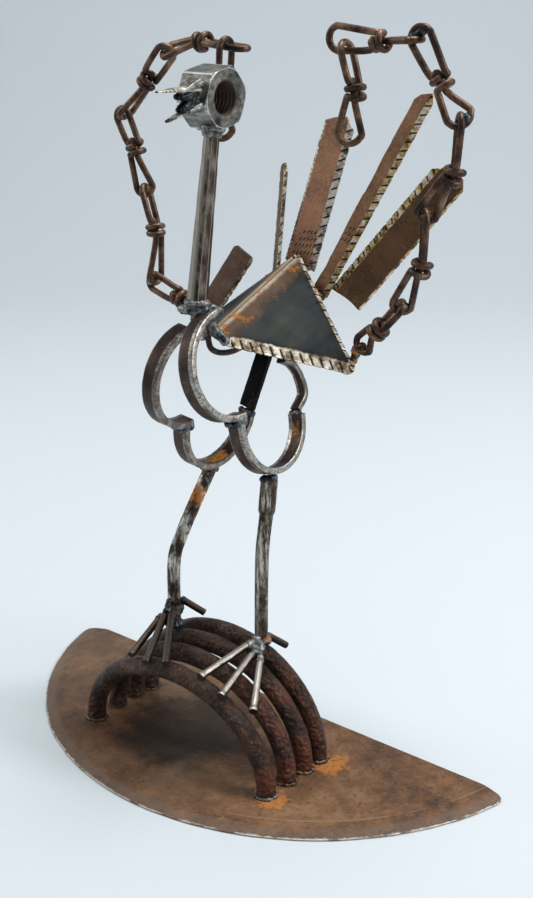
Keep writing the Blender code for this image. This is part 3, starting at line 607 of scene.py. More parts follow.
def grow(name, maker, curve, values):
    # runs a Geometry Nodes tree on a curve and returns the plain mesh
    item = bpy.data.objects.new(name + "Curve", curve)
    bpy.context.scene.collection.objects.link(item)
    step = item.modifiers.new(maker.name, "NODES")
    step.node_group = maker
    names = {s.name: s.identifier for s in maker.interface.items_tree if s.in_out == "INPUT"}
    for key, value in values.items():
        step[names[key]] = value
    graph = bpy.context.evaluated_depsgraph_get()
    graph.update()
    mesh = bpy.data.meshes.new_from_object(item.evaluated_get(graph), depsgraph=graph)
    mesh.name = name
    bpy.data.objects.remove(item)
    return mesh


def pieceSeed():
    # another for each piece, and the same at every run
    return len(bpy.data.meshes)


def bar(name, points, radius, finish, node, sides=20, step=0.0012, pit=0.0002, pitSize=220, radii=None):
    # pitSize is the noise's scale: more is finer
    values = {"Bar Radius": radius, "Sides": sides, "Step": step, "Pit Depth": pit,
              "Pit Size": float(pitSize), "Seed": float(pieceSeed()), "Finish": finish}
    mesh = grow(name, barTree, curveOf(name, [points], [radii] if radii else None), values)
    return settle(name, mesh, [finish], [node], 50)


def weld(name, lines, bead, finish, step=0.0022, uneven=0.35, voxel=0.0007, nodes=(), lump=0.0006,
         radii=None):
    # beads along each line, melted together, with small lumps
    values = {"Bead Radius": bead, "Step": step, "Uneven": uneven, "Seed": pieceSeed(), "Finish": finish}
    mesh = grow(name, beadTree, curveOf(name, lines, radii), values)
    item = bpy.data.objects.new(name + "Beads", mesh)
    bpy.context.scene.collection.objects.link(item)
    melt = item.modifiers.new("melt", "REMESH")
    melt.mode = "VOXEL"
    melt.voxel_size = voxel
    soften = item.modifiers.new("soften", "SMOOTH")
    soften.factor = 0.5
    soften.iterations = 3
    graph = bpy.context.evaluated_depsgraph_get()
    graph.update()
    whole = bpy.data.meshes.new_from_object(item.evaluated_get(graph), depsgraph=graph)
    bpy.data.objects.remove(item)
    spots = np.zeros(len(whole.vertices) * 3, np.float32)
    whole.vertices.foreach_get("co", spots)
    spots = spots.reshape(-1, 3)
    out = np.array([tuple(v.normal) for v in whole.vertices])
    spots += out * ((roughNoise(spots, 0.0035, 5) - 0.55) * 2 * lump)[:, None]
    whole.vertices.foreach_set("co", spots.ravel())
    whole.name = name
    whole.materials.clear()
    return settle(name, whole, [finish], nodes, 80)


# Base plate

base = {
    "radius": 0.2032, "chord": 0.041, "thick": 0.0035, "rim": 0.0012, "bevel": 0.009, "corner": 0.009,
    "raggedRim": 0.0009, "raggedEdge": 0.0003, "heart": 0.06,
}
base["centreY"] = (base["radius"] + base["chord"]) / 2


def segmentOutline(inset, rimSteps=360, cornerSteps=10):
    radius, corner = base["radius"] - inset, base["corner"]
    low = -(base["chord"] + corner)
    side = math.sqrt((radius - corner) ** 2 - low ** 2)
    lean = math.degrees(math.atan2(low, side))
    right = arcPoints((side, low), corner, 90, lean, cornerSteps)
    rim = arcPoints((0, 0), radius, lean, -180 - lean, rimSteps)[1:-1]
    left = arcPoints((-side, low), corner, -180 - lean, -270, cornerSteps)
    top = left[-1]
    straight = [top.lerp(right[0], k / 120) for k in range(1, 120)]
    return np.array([(p.x, p.y) for p in right + rim + left + straight])


def makeBase():
    # rings of points by inset and height, from the underside up across the bevel
    rim, top = base["rim"], base["thick"]
    levels = ((0.0006, 0), (0.0001, rim * 0.35), (0, rim * 0.8), (0.0005, rim * 1.15), (0.0025, 0.00185),
              (0.0055, 0.00265), (0.0085, 0.0034), (0.0095, top), (0.016, top), (0.030, top))
    rows = []
    for inset, z in levels:
        flat = segmentOutline(inset)
        count = len(flat)
        spot = np.c_[flat[:, 0], flat[:, 1] + base["centreY"], np.zeros(count)]
        onRim = np.hypot(flat[:, 0], flat[:, 1]) > base["radius"] - inset - 0.0006
        bite = np.where(onRim, base["raggedRim"], base["raggedEdge"]) * roughNoise(spot, 0.010, 3) ** 1.5
        fade = max(0.0, 1 - inset / base["bevel"])
        inward = np.array([0, base["centreY"] - base["heart"], 0]) - spot
        inward[:, 2] = 0
        inward /= np.linalg.norm(inward, axis=1)[:, None]
        spot = spot + inward * (bite * fade)[:, None]
        spot[:, 1] = np.minimum(spot[:, 1], base["centreY"] - base["chord"])
        spot[:, 2] = z
        rows.append(spot)
    mesh = meshOf("basePlate", np.vstack(rows), tubeFaces(len(levels), count))
    turnOutwards(mesh)
    settle("base_plate_finish", mesh, [finishPlate()], ["base_plate"], 25)


# Spring bars

arch = {
    "bar": 0.007, "halfSpan": 0.080, "rise": 0.061, "step": 0.0027, "stub": 0.003, "x": -0.008,
    "frontY": -0.021, "spaces": (0.008, 0.0045, 0.0025), "pit": 0.0007, "pitSize": 170,
}


def springRows():
    rows = [arch["frontY"]]
    for space in arch["spaces"]:
        rows.append(rows[-1] + 2 * arch["bar"] + space)
    return rows


def springLine(number, x):
    rise = arch["rise"] + number * arch["step"]
    share = min(abs(x - arch["x"]) / arch["halfSpan"], 0.98)
    curve = math.sqrt(1 - share ** 2)
    return base["thick"] + gap + arch["stub"] + rise * curve, rise * share / arch["halfSpan"] / curve


def overSprings(x, y, radius):
    reach = arch["bar"] + radius + gap
    height = 0
    for number, row in enumerate(springRows()):
        off = abs(y - row)
        if off < reach:
            middle, slope = springLine(number, x)
            height = max(height, middle + math.sqrt((reach ** 2 - off ** 2) * (1 + slope ** 2)))
    return height


def makeSprings():
    finish = finishSpring()
    foot = base["thick"] + 0.0001
    for number, row in enumerate(springRows()):
        rise = arch["rise"] + number * arch["step"]
        points = [(arch["x"] - arch["halfSpan"], row, foot)]
        for k in range(73):
            turn = math.pi * k / 72
            points.append((arch["x"] - arch["halfSpan"] * math.cos(turn), row,
                           base["thick"] + gap + arch["stub"] + rise * math.sin(turn)))
        points.append((arch["x"] + arch["halfSpan"], row, foot))
        bar(f"spring_bar_{number + 1}_finish", points, arch["bar"], finish,
            f"spring_bar_{number + 1}", 40, 0.0011, arch["pit"], arch["pitSize"])


# Legs and feet, with values by side: 1 is the bird's left, -1 its right

legs = {
    "bar": 0.0098, "sleeve": 0.0122, "sleeveLength": 0.025, "sleeveLip": 0.0015, "seat": 0.003,
    "standY": {1: 0.034, -1: 0.024}, "stride": {1: 0.035, -1: 0.038}, "hubRise": {1: 0.0015, -1: 0.0174},
    "reach": {1: (0, 0.008, 0.120), -1: (0.015, 0.024, 0.102)},
    "streakStain": {1: (0.53, 0.48), -1: (0.50, 0.54)},
    "bends": {1: ((0, 0.001, 0.52), (0, 0.006, 0.79)),
              -1: ((0.004, -0.003, 0.36), (0.008, 0.001, 0.545), (0.012, 0.011, 0.76))},
}
toes = {
    "bar": 0.005, "seat": 0.0003, "hindDrop": 0.012, "flare": 1.25, "flareLong": 0.0016,
    "front": {  # root and tip of each toe from the hub
        1: (((-0.0025, -0.0080, 0), (-0.006, -0.058)), ((0.0045, -0.0166, -0.004), (0.014, -0.060)),
            ((0.0100, -0.0130, -0.005), (0.033, -0.049))),
        -1: (((-0.0056, -0.0077, -0.0094), (0.003, -0.049)), ((-0.0010, -0.0077, -0.0048), (0.022, -0.054)),
             ((0.0045, -0.0077, -0.0040), (0.038, -0.051))),
    },
    "hind": {1: (0.005, 0.022), -1: (0.0175, 0.0135)},
}
sideName = {1: "left", -1: "right"}


def legFoot(side):
    x = middleX + side * legs["stride"][side]
    row = min(springRows(), key=lambda y: abs(y - legs["standY"][side]))
    return Vector((x, legs["standY"][side], overSprings(x - side * legs["bar"] / 2, row, 0)))


def hub(side):
    return legFoot(side) + Vector((0, 0, legs["hubRise"][side]))


def legTop(side):
    return hub(side) + Vector(legs["reach"][side])


def thighUp(side):
    return Vector((-side * math.sin(thigh["lean"][side]), 0, math.cos(thigh["lean"][side])))


def makeLeg(side):
    low, high = hub(side), legTop(side)
    bends = [low + Vector((x, y, share * legs["reach"][side][2])) for x, y, share in legs["bends"][side]]
    path = [legFoot(side)] + smoothPath([low] + bends + [high - thighUp(side) * legs["seat"]], 16) + [high]
    sleeve = legs["sleeve"] / legs["bar"] if side > 0 else 1
    radii = []
    for point in path:
        below = high.z - legs["sleeveLength"] - point.z
        radii.append(sleeve - (sleeve - 1) * min(max(below / legs["sleeveLip"], 0), 1))
    heat = {1: (tuple(low), 0.006), -1: ((low.x + 0.012, low.y + 0.012, high.z - 0.018), 0.010)}
    finish = finishRod("legBar" + sideName[side].title(), *legs["streakStain"][side], [heat[side]])
    name = f"leg_{sideName[side]}"
    bar(name + "_finish", path, legs["bar"] / 2, finish, name, 28, 0.001, 0.0004, 120, radii)


def toeRest(x, y):
    return overSprings(x, y, toes["bar"] / 2) + toes["seat"]


def tipHeight(root, x, y):
    height = toeRest(x, y)
    for row in springRows():
        share = (root.y - row) / (root.y - y)
        if 0.1 < share < 1:
            need = toeRest(root.x + share * (x - root.x), row)
            height = max(height, (need - (1 - share) * root.z) / share)
    return height


def toeEnds(side):
    middle = hub(side)
    ends = []
    for start, (x, y) in toes["front"][side]:
        root = middle + Vector(start)
        root.z = max(root.z, toeRest(root.x, root.y))
        tip = Vector((middle.x + x, middle.y + y, 0))
        tip.z = tipHeight(root, tip.x, tip.y)
        ends.append((root, tip))
    root = middle + Vector((0, (legs["bar"] + toes["bar"]) / 2 + gap, 0))
    root.z = max(root.z, toeRest(root.x, root.y))
    tip = middle + Vector((*toes["hind"][side], -toes["hindDrop"]))
    tip.z = max(tip.z, toeRest(tip.x, tip.y))
    return ends + [(root, tip)]


def makeToes(side, bright, dull):
    for number, (root, tip) in enumerate(toeEnds(side), 1):
        along = (tip - root).normalized()
        points = [root.lerp(tip, k / 12) for k in range(12)] + [tip - along * toes["flareLong"], tip]
        finish = bright if side > 0 and number < 4 else dull
        flare = toes["flare"] if finish == bright else 1
        radii = [1.06] * 12 + [1.08 * flare, flare]
        name = f"toe_{sideName[side]}_{number}"
        bar(name + "_finish", points, toes["bar"] / 2, finish, name, 18, 0.0008, 0.0002, 300,
            radii)


# Thighs: flat bars bent to arcs

thigh = {
    "wide": 0.0127, "thick": 0.0045, "front": {1: 0.0355, -1: 0.034}, "back": {1: 0.031, -1: 0.035},
    "end": {1: 360, -1: 348}, "behindLeg": {1: 0.009, -1: 0.002}, "shift": {1: 0.049, -1: 0.040},
    "lean": {1: math.radians(13), -1: math.radians(7)},
}
braces = {
    "wide": 0.008, "atRidge": 0.92,
    "bends": ((0, 0), (0.0100, 0.0085), (0.0092, 0.021), (0.0035, 0.031), (-0.006, 0.0365)),
}


def thighFrame(side):
    up, back = thighUp(side), Vector((0, 1, 0))
    turn = Matrix((back, up, back.cross(up))).transposed().to_4x4()
    return Matrix.Translation(legTop(side) + up * (thigh["thick"] / 2 + gap)) @ turn


def evenLine(line, step):
    lengths = [0]
    for a, b in zip(line, line[1:]):
        lengths.append(lengths[-1] + (b - a).length)
    marks = np.linspace(0, lengths[-1], max(2, round(lengths[-1] / step) + 1))
    return np.transpose([np.interp(marks, lengths, [p[axis] for p in line]) for axis in (0, 1)])


def band(name, line, wide, thick, place, finishes, node, worn=0.0004):
    # flat bar along a line in its own plane; its two narrow edges are ground
    spots = evenLine(line, 0.0009)
    way = np.gradient(spots, axis=0)
    way /= np.linalg.norm(way, axis=1)[:, None]
    side = np.c_[-way[:, 1], way[:, 0]]
    soft = thick * 0.16
    ring = []
    for corner, (sx, sz) in enumerate(((1, 1), (-1, 1), (-1, -1), (1, -1))):
        for k in range(3):
            turn = math.radians(90 * corner + 45 * k)
            ring.append((sx * (thick / 2 - soft) + soft * math.cos(turn),
                         sz * (wide / 2 - soft) + soft * math.sin(turn), "edge" if k else "turn"))
        for share in (0.5, 0, -0.5):
            if sx == sz:
                ring.append((sx * (thick / 2 - soft) * share, sz * wide / 2, "edge"))
            else:
                ring.append((sx * thick / 2, sz * (wide / 2 - soft) * share, "face"))
    kinds = [kind for _, _, kind in ring]
    count = len(ring)
    local = np.array([[(x + out * u, y + up * u, w) for u, w, _ in ring]
                      for (x, y), (out, up) in zip(spots, side)])
    flat = placed(local, place).reshape(-1, 3)
    middle = np.repeat(placed(np.c_[spots, np.zeros(len(spots))], place), count, axis=0)
    pull = (middle - flat) / np.linalg.norm(middle - flat, axis=1)[:, None]
    flat = flat + pull * (roughNoise(flat, 0.006, 11) ** 2 * worn)[:, None]
    mesh = meshOf(name, flat, tubeFaces(len(spots), count))
    for finish in finishes:
        mesh.materials.append(finish)
    for face in mesh.polygons[:(len(spots) - 1) * count]:
        c = face.index % count
        face.material_index = int("edge" in (kinds[c], kinds[(c + 1) % count]))
    turnOutwards(mesh)
    return settle(name, mesh, finishes, [node], 35)


def makeThigh(side, finishes):
    place = thighFrame(side)
    backCentre = Vector((thigh["behindLeg"][side], thigh["back"][side]))
    frontCentre = backCentre + Vector((-thigh["back"][side], thigh["shift"][side]))
    armTop = frontCentre.y - thigh["front"][side] - thigh["thick"] / 2 - gap
    uLine = [Vector((frontCentre.x, armTop))] + arcPoints(backCentre, thigh["back"][side], 180,
                                                          thigh["end"][side], 60)
    cLine = arcPoints(frontCentre, thigh["front"][side], 97, 278, 70)
    for part, line in (("back", uLine), ("front", cLine)):
        name = f"thigh_{part}_{sideName[side]}"
        band(name + "_finish", line, thigh["wide"], thigh["thick"], place, finishes, name)
    return place, uLine[-1], frontCentre


def thighSummit(side):
    rise = thigh["back"][side] + thigh["shift"][side] + thigh["front"][side]
    return thighFrame(side) @ Vector((thigh["behindLeg"][side] - thigh["back"][side], rise, 0))


def makeBraces(leftThigh, rightThigh, finishes):
    place, end, _ = leftThigh
    start = end + Vector((0, thigh["thick"] / 2 + 2 * gap))
    strip = smoothPath([(*(start + Vector(bend)), 0) for bend in braces["bends"]], 12)
    band("brace_left_finish", strip, braces["wide"], thigh["thick"] * 0.9, place, finishes,
         "brace_left", 0.0008)
    place, end, _ = rightThigh
    start = place @ Vector((end.x, end.y + thigh["thick"], 0))
    stop = ridgePoint(braces["atRidge"]) - Vector((0, 0, body["thick"] * 3))
    along = stop - start
    spot = frameAt(start, along, (0, -1, 0.4))
    turned = spot @ Matrix.Rotation(math.radians(90), 4, "Y")
    line = [Vector((0, 0.001)), Vector((0, along.length))]
    coat = finishBlackBar()
    band("brace_right_finish", line, thigh["wide"], thigh["thick"], turned, [coat, coat],
         "brace_right", 0.0006)


# Body: two knife sections that meet at a ridge

body = {
    "back": 0.098, "deep": 0.080, "tip": 0.013, "thick": 0.003, "ridgePitch": math.radians(22),
    "roofPitch": math.radians(32), "skew": 0.0044, "nose": 0.014, "ridgeBack": 0.014, "ridgeDrop": 0.023,
    "square": 0.004, "bevel": 0.0092, "bevelDrop": 0.0019, "rearBevel": 0.0040, "rearDrop": 0.0014,
    "groovePitch": 0.0068, "grooveDeep": 0.0006, "tooth": 0.0007, "rearTooth": 0.0006,
    "wornRidge": 0.019, "plainNose": 0.010,
    # millimetres from the ground edges, closer together across the bevels
    "frontColumns": (0, 0.2, 0.5, 0.9, 1.4, 2, 2.6, 3.2, 3.8, 4.4, 5, 5.6, 6.3, 7, 7.8, 8.6, 9.6, 10.6, 11.6),
    "rearColumns": (5.0, 4.4, 3.8, 3.2, 2.6, 2, 1.6, 1.2, 0.8, 0.5, 0.2, 0),
}
keel = {"bar": 0.0042, "bends": ((-0.004, -0.002), (-0.001, -0.010), (0.008, -0.015), (0.0224, -0.017),
                                 (0.040, -0.014))}


def ridgeWay():
    return Vector((0, math.cos(body["ridgePitch"]), math.sin(body["ridgePitch"])))


def ridgePoint(share):
    front = neckFoot() + Vector((0, body["ridgeBack"], -body["ridgeDrop"]))
    return front + share * body["back"] * ridgeWay()


def sectionFrame(side):
    along = ridgeWay()
    down = Vector((0, along.z, -along.y))
    out = side * math.cos(body["roofPitch"]) * Vector((1, 0, 0)) + math.sin(body["roofPitch"]) * down
    turn = Matrix((along, out, along.cross(out))).transposed().to_4x4()
    return Matrix.Translation(ridgePoint(0)) @ turn


def saw(phase, sharp):
    # 0 on a tooth's flat, 1 in the narrow cut between two teeth
    part = phase - np.floor(phase)
    return np.clip(1 - np.abs(part - 0.5) / sharp, 0, 1)


def plateMesh(name, flat, high, low, place, marks, finishes, node, sharp=45):
    # closed plate from a grid of flat places, with the heights of its two faces
    rows, columns = flat.shape[:2]
    top = np.dstack([flat, high]).reshape(-1, 3)
    bottom = np.dstack([flat, low]).reshape(-1, 3)
    count = rows * columns
    edge = ([c for c in range(columns)] + [r * columns + columns - 1 for r in range(1, rows)]
            + [(rows - 1) * columns + c for c in range(columns - 2, -1, -1)]
            + [r * columns for r in range(rows - 2, 0, -1)])
    faces = gridFaces(rows, columns) + gridFaces(rows, columns, count, flip=True)
    for a, b in zip(edge, edge[1:] + edge[:1]):
        faces.append((b, a, a + count, b + count))
    mesh = meshOf(name, placed(np.vstack([top, bottom]), place), faces)
    for key, values in marks.items():
        paint(mesh, key, np.concatenate([values.ravel(), values.ravel()]))
    turnOutwards(mesh)
    return settle(name, mesh, finishes, [node], sharp)


def makeSection(side, finish):
    inner = body["thick"] / 2 * math.tan(body["roofPitch"]) + gap
    middle = body["back"] / 2 - body["skew"]
    half = body["tip"] / 2
    ys = np.concatenate([np.arange(inner, body["deep"], 0.00042),
                         body["deep"] + half * np.sin(np.linspace(0, math.radians(86), 22))])
    front = np.interp(ys, (body["nose"], body["deep"]), (0, middle - half))
    rear = np.interp(ys, (body["square"], body["deep"]), (body["back"], middle + half))
    cap = np.clip(ys - body["deep"], 0, half)
    bulge = np.sqrt(half ** 2 - cap ** 2)
    front = np.where(ys > body["deep"], middle - bulge, front)
    rear = np.where(ys > body["deep"], middle + bulge, rear)
    near = np.array(body["frontColumns"]) / 1000
    far = np.array(body["rearColumns"]) / 1000
    wide = rear - front
    shrink = np.minimum(1, wide / 0.018)
    xs = np.array([np.concatenate([f + near * k, np.linspace(f + near[-1] * k, r - far[0] * k, 14)[1:-1],
                                   r - far * k]) for f, r, k in zip(front, rear, shrink)])
    flat = np.dstack([xs, np.repeat(ys[:, None], xs.shape[1], axis=1)])
    lean = math.atan2(body["deep"] - body["nose"], middle - half)
    leanRear = math.atan2(body["deep"], body["back"] - middle - half)
    fromFront = (xs - front[:, None]) * math.sin(lean)
    fromRear = (rear[:, None] - xs) * math.sin(leanRear)
    tipward = np.clip((ys - body["nose"]) / 0.004 + 1, 0, 1)[:, None]
    bevel = np.clip(1.06 - fromFront / body["bevel"], 0, 1) * tipward
    rearBevel = np.clip(1 - fromRear / body["rearBevel"], 0, 1) * np.minimum(1, ys / 0.006)[:, None]
    run = (ys[:, None] - body["nose"]) / math.sin(lean) + fromFront * 0.2
    runRear = ys[:, None] / math.sin(leanRear) + fromRear * 0.8
    cuts = saw((run + fromFront * 0.9) / body["groovePitch"], 0.17) * (bevel > 0.36)
    cutsRear = saw(runRear / body["groovePitch"], 0.17) * (rearBevel > 0.05)
    groove = np.clip(cuts * tipward + cutsRear, 0, 1)
    spots = np.dstack([flat, np.full(xs.shape, side)])
    uneven = (roughNoise(spots, 0.009, 21) - 0.5) * 0.0003
    halfThick = body["thick"] / 2
    slope = np.maximum(bevel * body["bevelDrop"], rearBevel * body["rearDrop"])
    outer = halfThick - 0.0002 - slope - groove * body["grooveDeep"] + uneven
    outer = np.maximum(outer, -halfThick + 0.0005)
    inward = np.full(xs.shape, -halfThick)
    flat[:, :, 0] += groove * body["tooth"] * (fromFront < 0.0004)
    flat[:, :, 0] -= groove * body["rearTooth"] * (fromRear < 0.0004)
    ridge = np.clip(1 - (ys[:, None] - inner) / body["wornRidge"], 0, 1) * np.ones(xs.shape)
    nose = np.clip(1 - xs / body["plainNose"], 0, 1) * (ys[:, None] < body["nose"] + 0.002)
    marks = {"bevel": np.maximum(bevel, rearBevel), "groove": groove, "ridge": ridge, "nose": nose}
    high, low = (outer, inward) if side < 0 else (-inward, -outer)
    name = f"body_plate_{sideName[side]}"
    plateMesh(name + "_finish", flat, high, low, sectionFrame(side), marks, [finish], name)


def rearEdge(side, share):
    inner = body["thick"] / 2 * math.tan(body["roofPitch"]) + gap
    middle = body["back"] / 2 - body["skew"]
    rear, tip = Vector((body["back"], inner)), Vector((middle + body["tip"] / 2, body["deep"]))
    spot = rear.lerp(tip, share)
    return sectionFrame(side) @ Vector((spot.x, spot.y, 0))


def makeKeel():
    # each bend is back and up from the ridge's front end
    path = beside(ridgePoint(0), *((0, y, z) for y, z in keel["bends"]))
    bar("keel_rod_finish", smoothPath(path, 12), keel["bar"] / 2, finishSpring(), "keel_rod", 14,
        0.0008, 0.0002, 300)


# Neck, head and beak

head = {
    "neckFoot": 0.0142, "neckTop": 0.0106, "neckLong": 0.110, "neckForward": 0.008,
    "neckLean": math.radians(9),
    "flats": 0.0355, "thick": 0.025, "side": -0.003, "bore": 0.0212, "mouth": 0.0236, "chamfer": 0.0022,
    "turn": math.radians(10), "threadPitch": 0.003, "threadDeep": 0.0011,
}
beak = {"open": 0.011, "rise": 0.0053, "lift": math.radians(12), "drop": math.radians(6), "side": 0.005,
        "long": 0.035, "lowerLong": 0.030, "root": 0.010, "point": 0.003, "thick": 0.0034,
        "webSide": 0.0022, "webInset": 0.0015,
        "webFull": (0.0025, 0.0048, 0.0071, 0.0092),
        "webHollow": ((0.0110, 0.0028), (0.0130, 0.0019), (0.0150, 0.0011), (0.0170, 0.0004))}


def neckFoot():
    left = thighSummit(1)
    lift = (thigh["thick"] / 2 + thigh["wide"] / 2 * math.sin(thigh["lean"][1])
            + head["neckFoot"] / 2 * math.sin(head["neckLean"]))
    return Vector((middleX, left.y - head["neckForward"], left.z + lift + 2 * gap))


def neckWay():
    return Vector((0, math.sin(head["neckLean"]), math.cos(head["neckLean"])))


def nutCentre():
    slant = math.radians(30) - head["neckLean"] - head["turn"]
    seat = (head["flats"] / 2 + head["neckTop"] / 2 * math.sin(slant)) / math.cos(slant) + gap
    return neckFoot() + neckWay() * (head["neckLong"] + seat) + Vector((head["side"], 0, 0))


def makeNeck():
    # eight sides, with three points at each softened corner
    rows, corners = 90, 8
    rings = []
    for r in range(rows):
        t = r / (rows - 1)
        radius = (head["neckFoot"] * (1 - t) + head["neckTop"] * t) / 2
        for c in range(corners):
            turns = [math.radians(90 + 45 * k) for k in (c - 1, c, c + 1)]
            before, here, after = [np.array([math.cos(a), math.sin(a)]) * radius for a in turns]
            for share in (before * 0.08 + here * 0.92, here * 0.96 + (before + after) * 0.02,
                          after * 0.08 + here * 0.92):
                rings.append((*share, t * head["neckLong"]))
    local = np.array(rings)
    place = Matrix.Translation(neckFoot()) @ Matrix.Rotation(-head["neckLean"], 4, "X")
    pull = -local * np.array([1, 1, 0])
    pull /= np.linalg.norm(pull, axis=1)[:, None]
    local = local + pull * (roughNoise(local * np.array([1, 1, 0.4]), 0.004, 31) ** 2 * 0.0005)[:, None]
    mesh = meshOf("neck", placed(local, place), tubeFaces(rows, corners * 3))
    paint(mesh, "corner", np.tile([0.55, 1.0, 0.55], rows * corners))
    out = local[:, :2] / np.linalg.norm(local[:, :2], axis=1)[:, None]
    # each point's turn toward the camera's left, for the painted light and painted shade on the neck's facets
    paint(mesh, "paintedLitSide", 0.5 - 0.5 * (out @ np.array([math.cos(view["turn"]), math.sin(view["turn"])])))
    finish = finishRod("neckBar", 0.58, 0.50, corners=True)
    settle("neck_finish", mesh, [finish], ["neck"], 14)


def makeNut():
    half, steps = head["thick"] / 2, 216
    corner = head["flats"] / 2 / math.cos(math.radians(30))
    face = corner - head["chamfer"]
    bore, mouth = head["bore"] / 2, head["mouth"] / 2
    spread = math.tan(math.radians(60))
    angles = np.radians(np.arange(steps) * 360 / steps)
    # distance of the six flats from the middle, at each angle
    flat = head["flats"] / 2 / np.cos((angles + math.radians(30)) % math.radians(60) - math.radians(30))
    rings = []
    inside = []
    lip = mouth - bore
    for z in np.linspace(-half + lip, half - lip, 84):
        phase = (z / head["threadPitch"] + angles / (2 * math.pi)) % 1
        depth = np.abs(phase - 0.5) * 2
        rings.append((bore + 0.0002 - head["threadDeep"] * depth, np.full(steps, z)))
        inside.append(1.0)
    lips = (mouth, mouth + 0.0012, face * 0.80, face * 0.94, face)
    shoulder = np.minimum(flat, face + 0.0010)
    dip = np.maximum(0, shoulder - face) / spread
    drop = np.maximum(0, flat - face) / spread
    rings += [(np.minimum(r, flat), np.full(steps, half)) for r in lips]
    rings.append((shoulder, half - dip))
    rings += [(flat, z * (half - drop)) for z in np.linspace(1, -1, 14)]
    rings.append((shoulder, dip - half))
    rings += [(np.minimum(r, flat), np.full(steps, -half)) for r in reversed(lips)]
    inside.append(0.25)
    inside += [0.0] * (len(rings) - len(inside))
    inside[-1] = 0.25
    verts = np.vstack([np.c_[r * np.cos(angles), r * np.sin(angles), z] for r, z in rings])
    verts += (np.stack([roughNoise(verts, 0.008, 40 + k) for k in range(3)], axis=1) - 0.5) * 0.0004
    verts[:, 2] = np.clip(verts[:, 2], -half, half)
    sideways = Matrix.Rotation(math.radians(90), 4, "Y")
    place = Matrix.Translation(nutCentre()) @ Matrix.Rotation(head["turn"], 4, "X") @ sideways
    faces = gridFaces(len(rings), steps, around=True)
    last = (len(rings) - 1) * steps
    faces += [(last + c, last + (c + 1) % steps, (c + 1) % steps, c) for c in range(steps)]
    mesh = meshOf("headNut", placed(verts, place), faces)
    paint(mesh, "bore", np.repeat(inside, steps))
    outward = np.hypot(verts[:, 0], verts[:, 1])
    onSide = outward > corner * 0.975
    onRim = (np.abs(outward - face) < 0.0009) & (np.abs(verts[:, 2]) > half - 0.0015)
    paint(mesh, "corner", (onSide | onRim) * 1.0)
    turnOutwards(mesh)
    settle("head_nut_finish", mesh, [finishNut()], ["head_nut"], 24)


def beakFrame(rise, tilt, standOff):
    out = Vector((0, -math.cos(head["turn"]), -math.sin(head["turn"])))
    up = Vector((0, -math.sin(head["turn"]), math.cos(head["turn"])))
    root = nutCentre() + Vector((beak["side"], 0, 0)) + out * (head["flats"] / 2 + standOff) + up * rise
    return frameAt(root, out * math.cos(tilt) + up * math.sin(tilt), up)


def makeBeak(weldFinish):
    finish = finishRod("beakSteel", 0.46, 0.50)
    blades = (("beak_upper", beak["rise"] + beak["open"] / 2, beak["lift"], beak["long"], 1),
              ("beak_lower", beak["rise"] - beak["open"] / 2, -beak["drop"], beak["lowerLong"], -1))
    for name, rise, tilt, length, outer in blades:
        place = beakFrame(rise, tilt, gap + beak["thick"] / 2 * math.sin(abs(tilt)))
        ys = np.linspace(0, length, 50)
        widths = (beak["root"] / 2, beak["root"] * 0.4, beak["point"] / 2)
        half = np.interp(ys, (0, length * 0.45, length), widths)
        us = np.linspace(-1, 1, 13)
        flat = np.dstack([us[None, :] * half[:, None], np.repeat(ys[:, None], 13, axis=1)])
        spots = np.dstack([flat, np.full(flat.shape[:2], rise)])
        flat[:, :, 0] *= 1 - 0.10 * roughNoise(spots, 0.004, 51)
        thick = beak["thick"] / 2
        taper = np.interp(ys / length, (0, 0.6, 1), (1, 0.75, 0.35))[:, None]
        crown = 1 - 0.55 * us[None, :] ** 2
        worn = (roughNoise(spots, 0.003, 52) - 0.5) * 0.0005
        outerFace = np.minimum(thick, thick * (2 * taper * crown - 1) + worn)
        innerFace = np.full(flat.shape[:2], -thick) + np.abs(worn)
        outerFace = np.maximum(outerFace, innerFace + 0.0005)
        high, low = (outerFace, innerFace) if outer > 0 else (-innerFace, -outerFace)
        plateMesh(name + "_finish", flat, high, low, place, {}, [finish], name, 40)
    spot = beakFrame(beak["rise"], 0, 0)
    reach = beak["open"] / 2 - beak["webInset"]
    throat = []
    for across in (-beak["webSide"], beak["webSide"]):
        for along in beak["webFull"]:
            throat.append([spot @ Vector((across, along, z)) for z in (-reach, reach)])
        for along, deep in beak["webHollow"]:
            for sign in (1, -1):
                throat.append([spot @ Vector((across, along, sign * z)) for z in (reach, reach - deep)])
    weld("beak_weld_finish", throat, 0.0019, weldFinish, 0.0016, 0.2, 0.0005, ["beak_weld"])


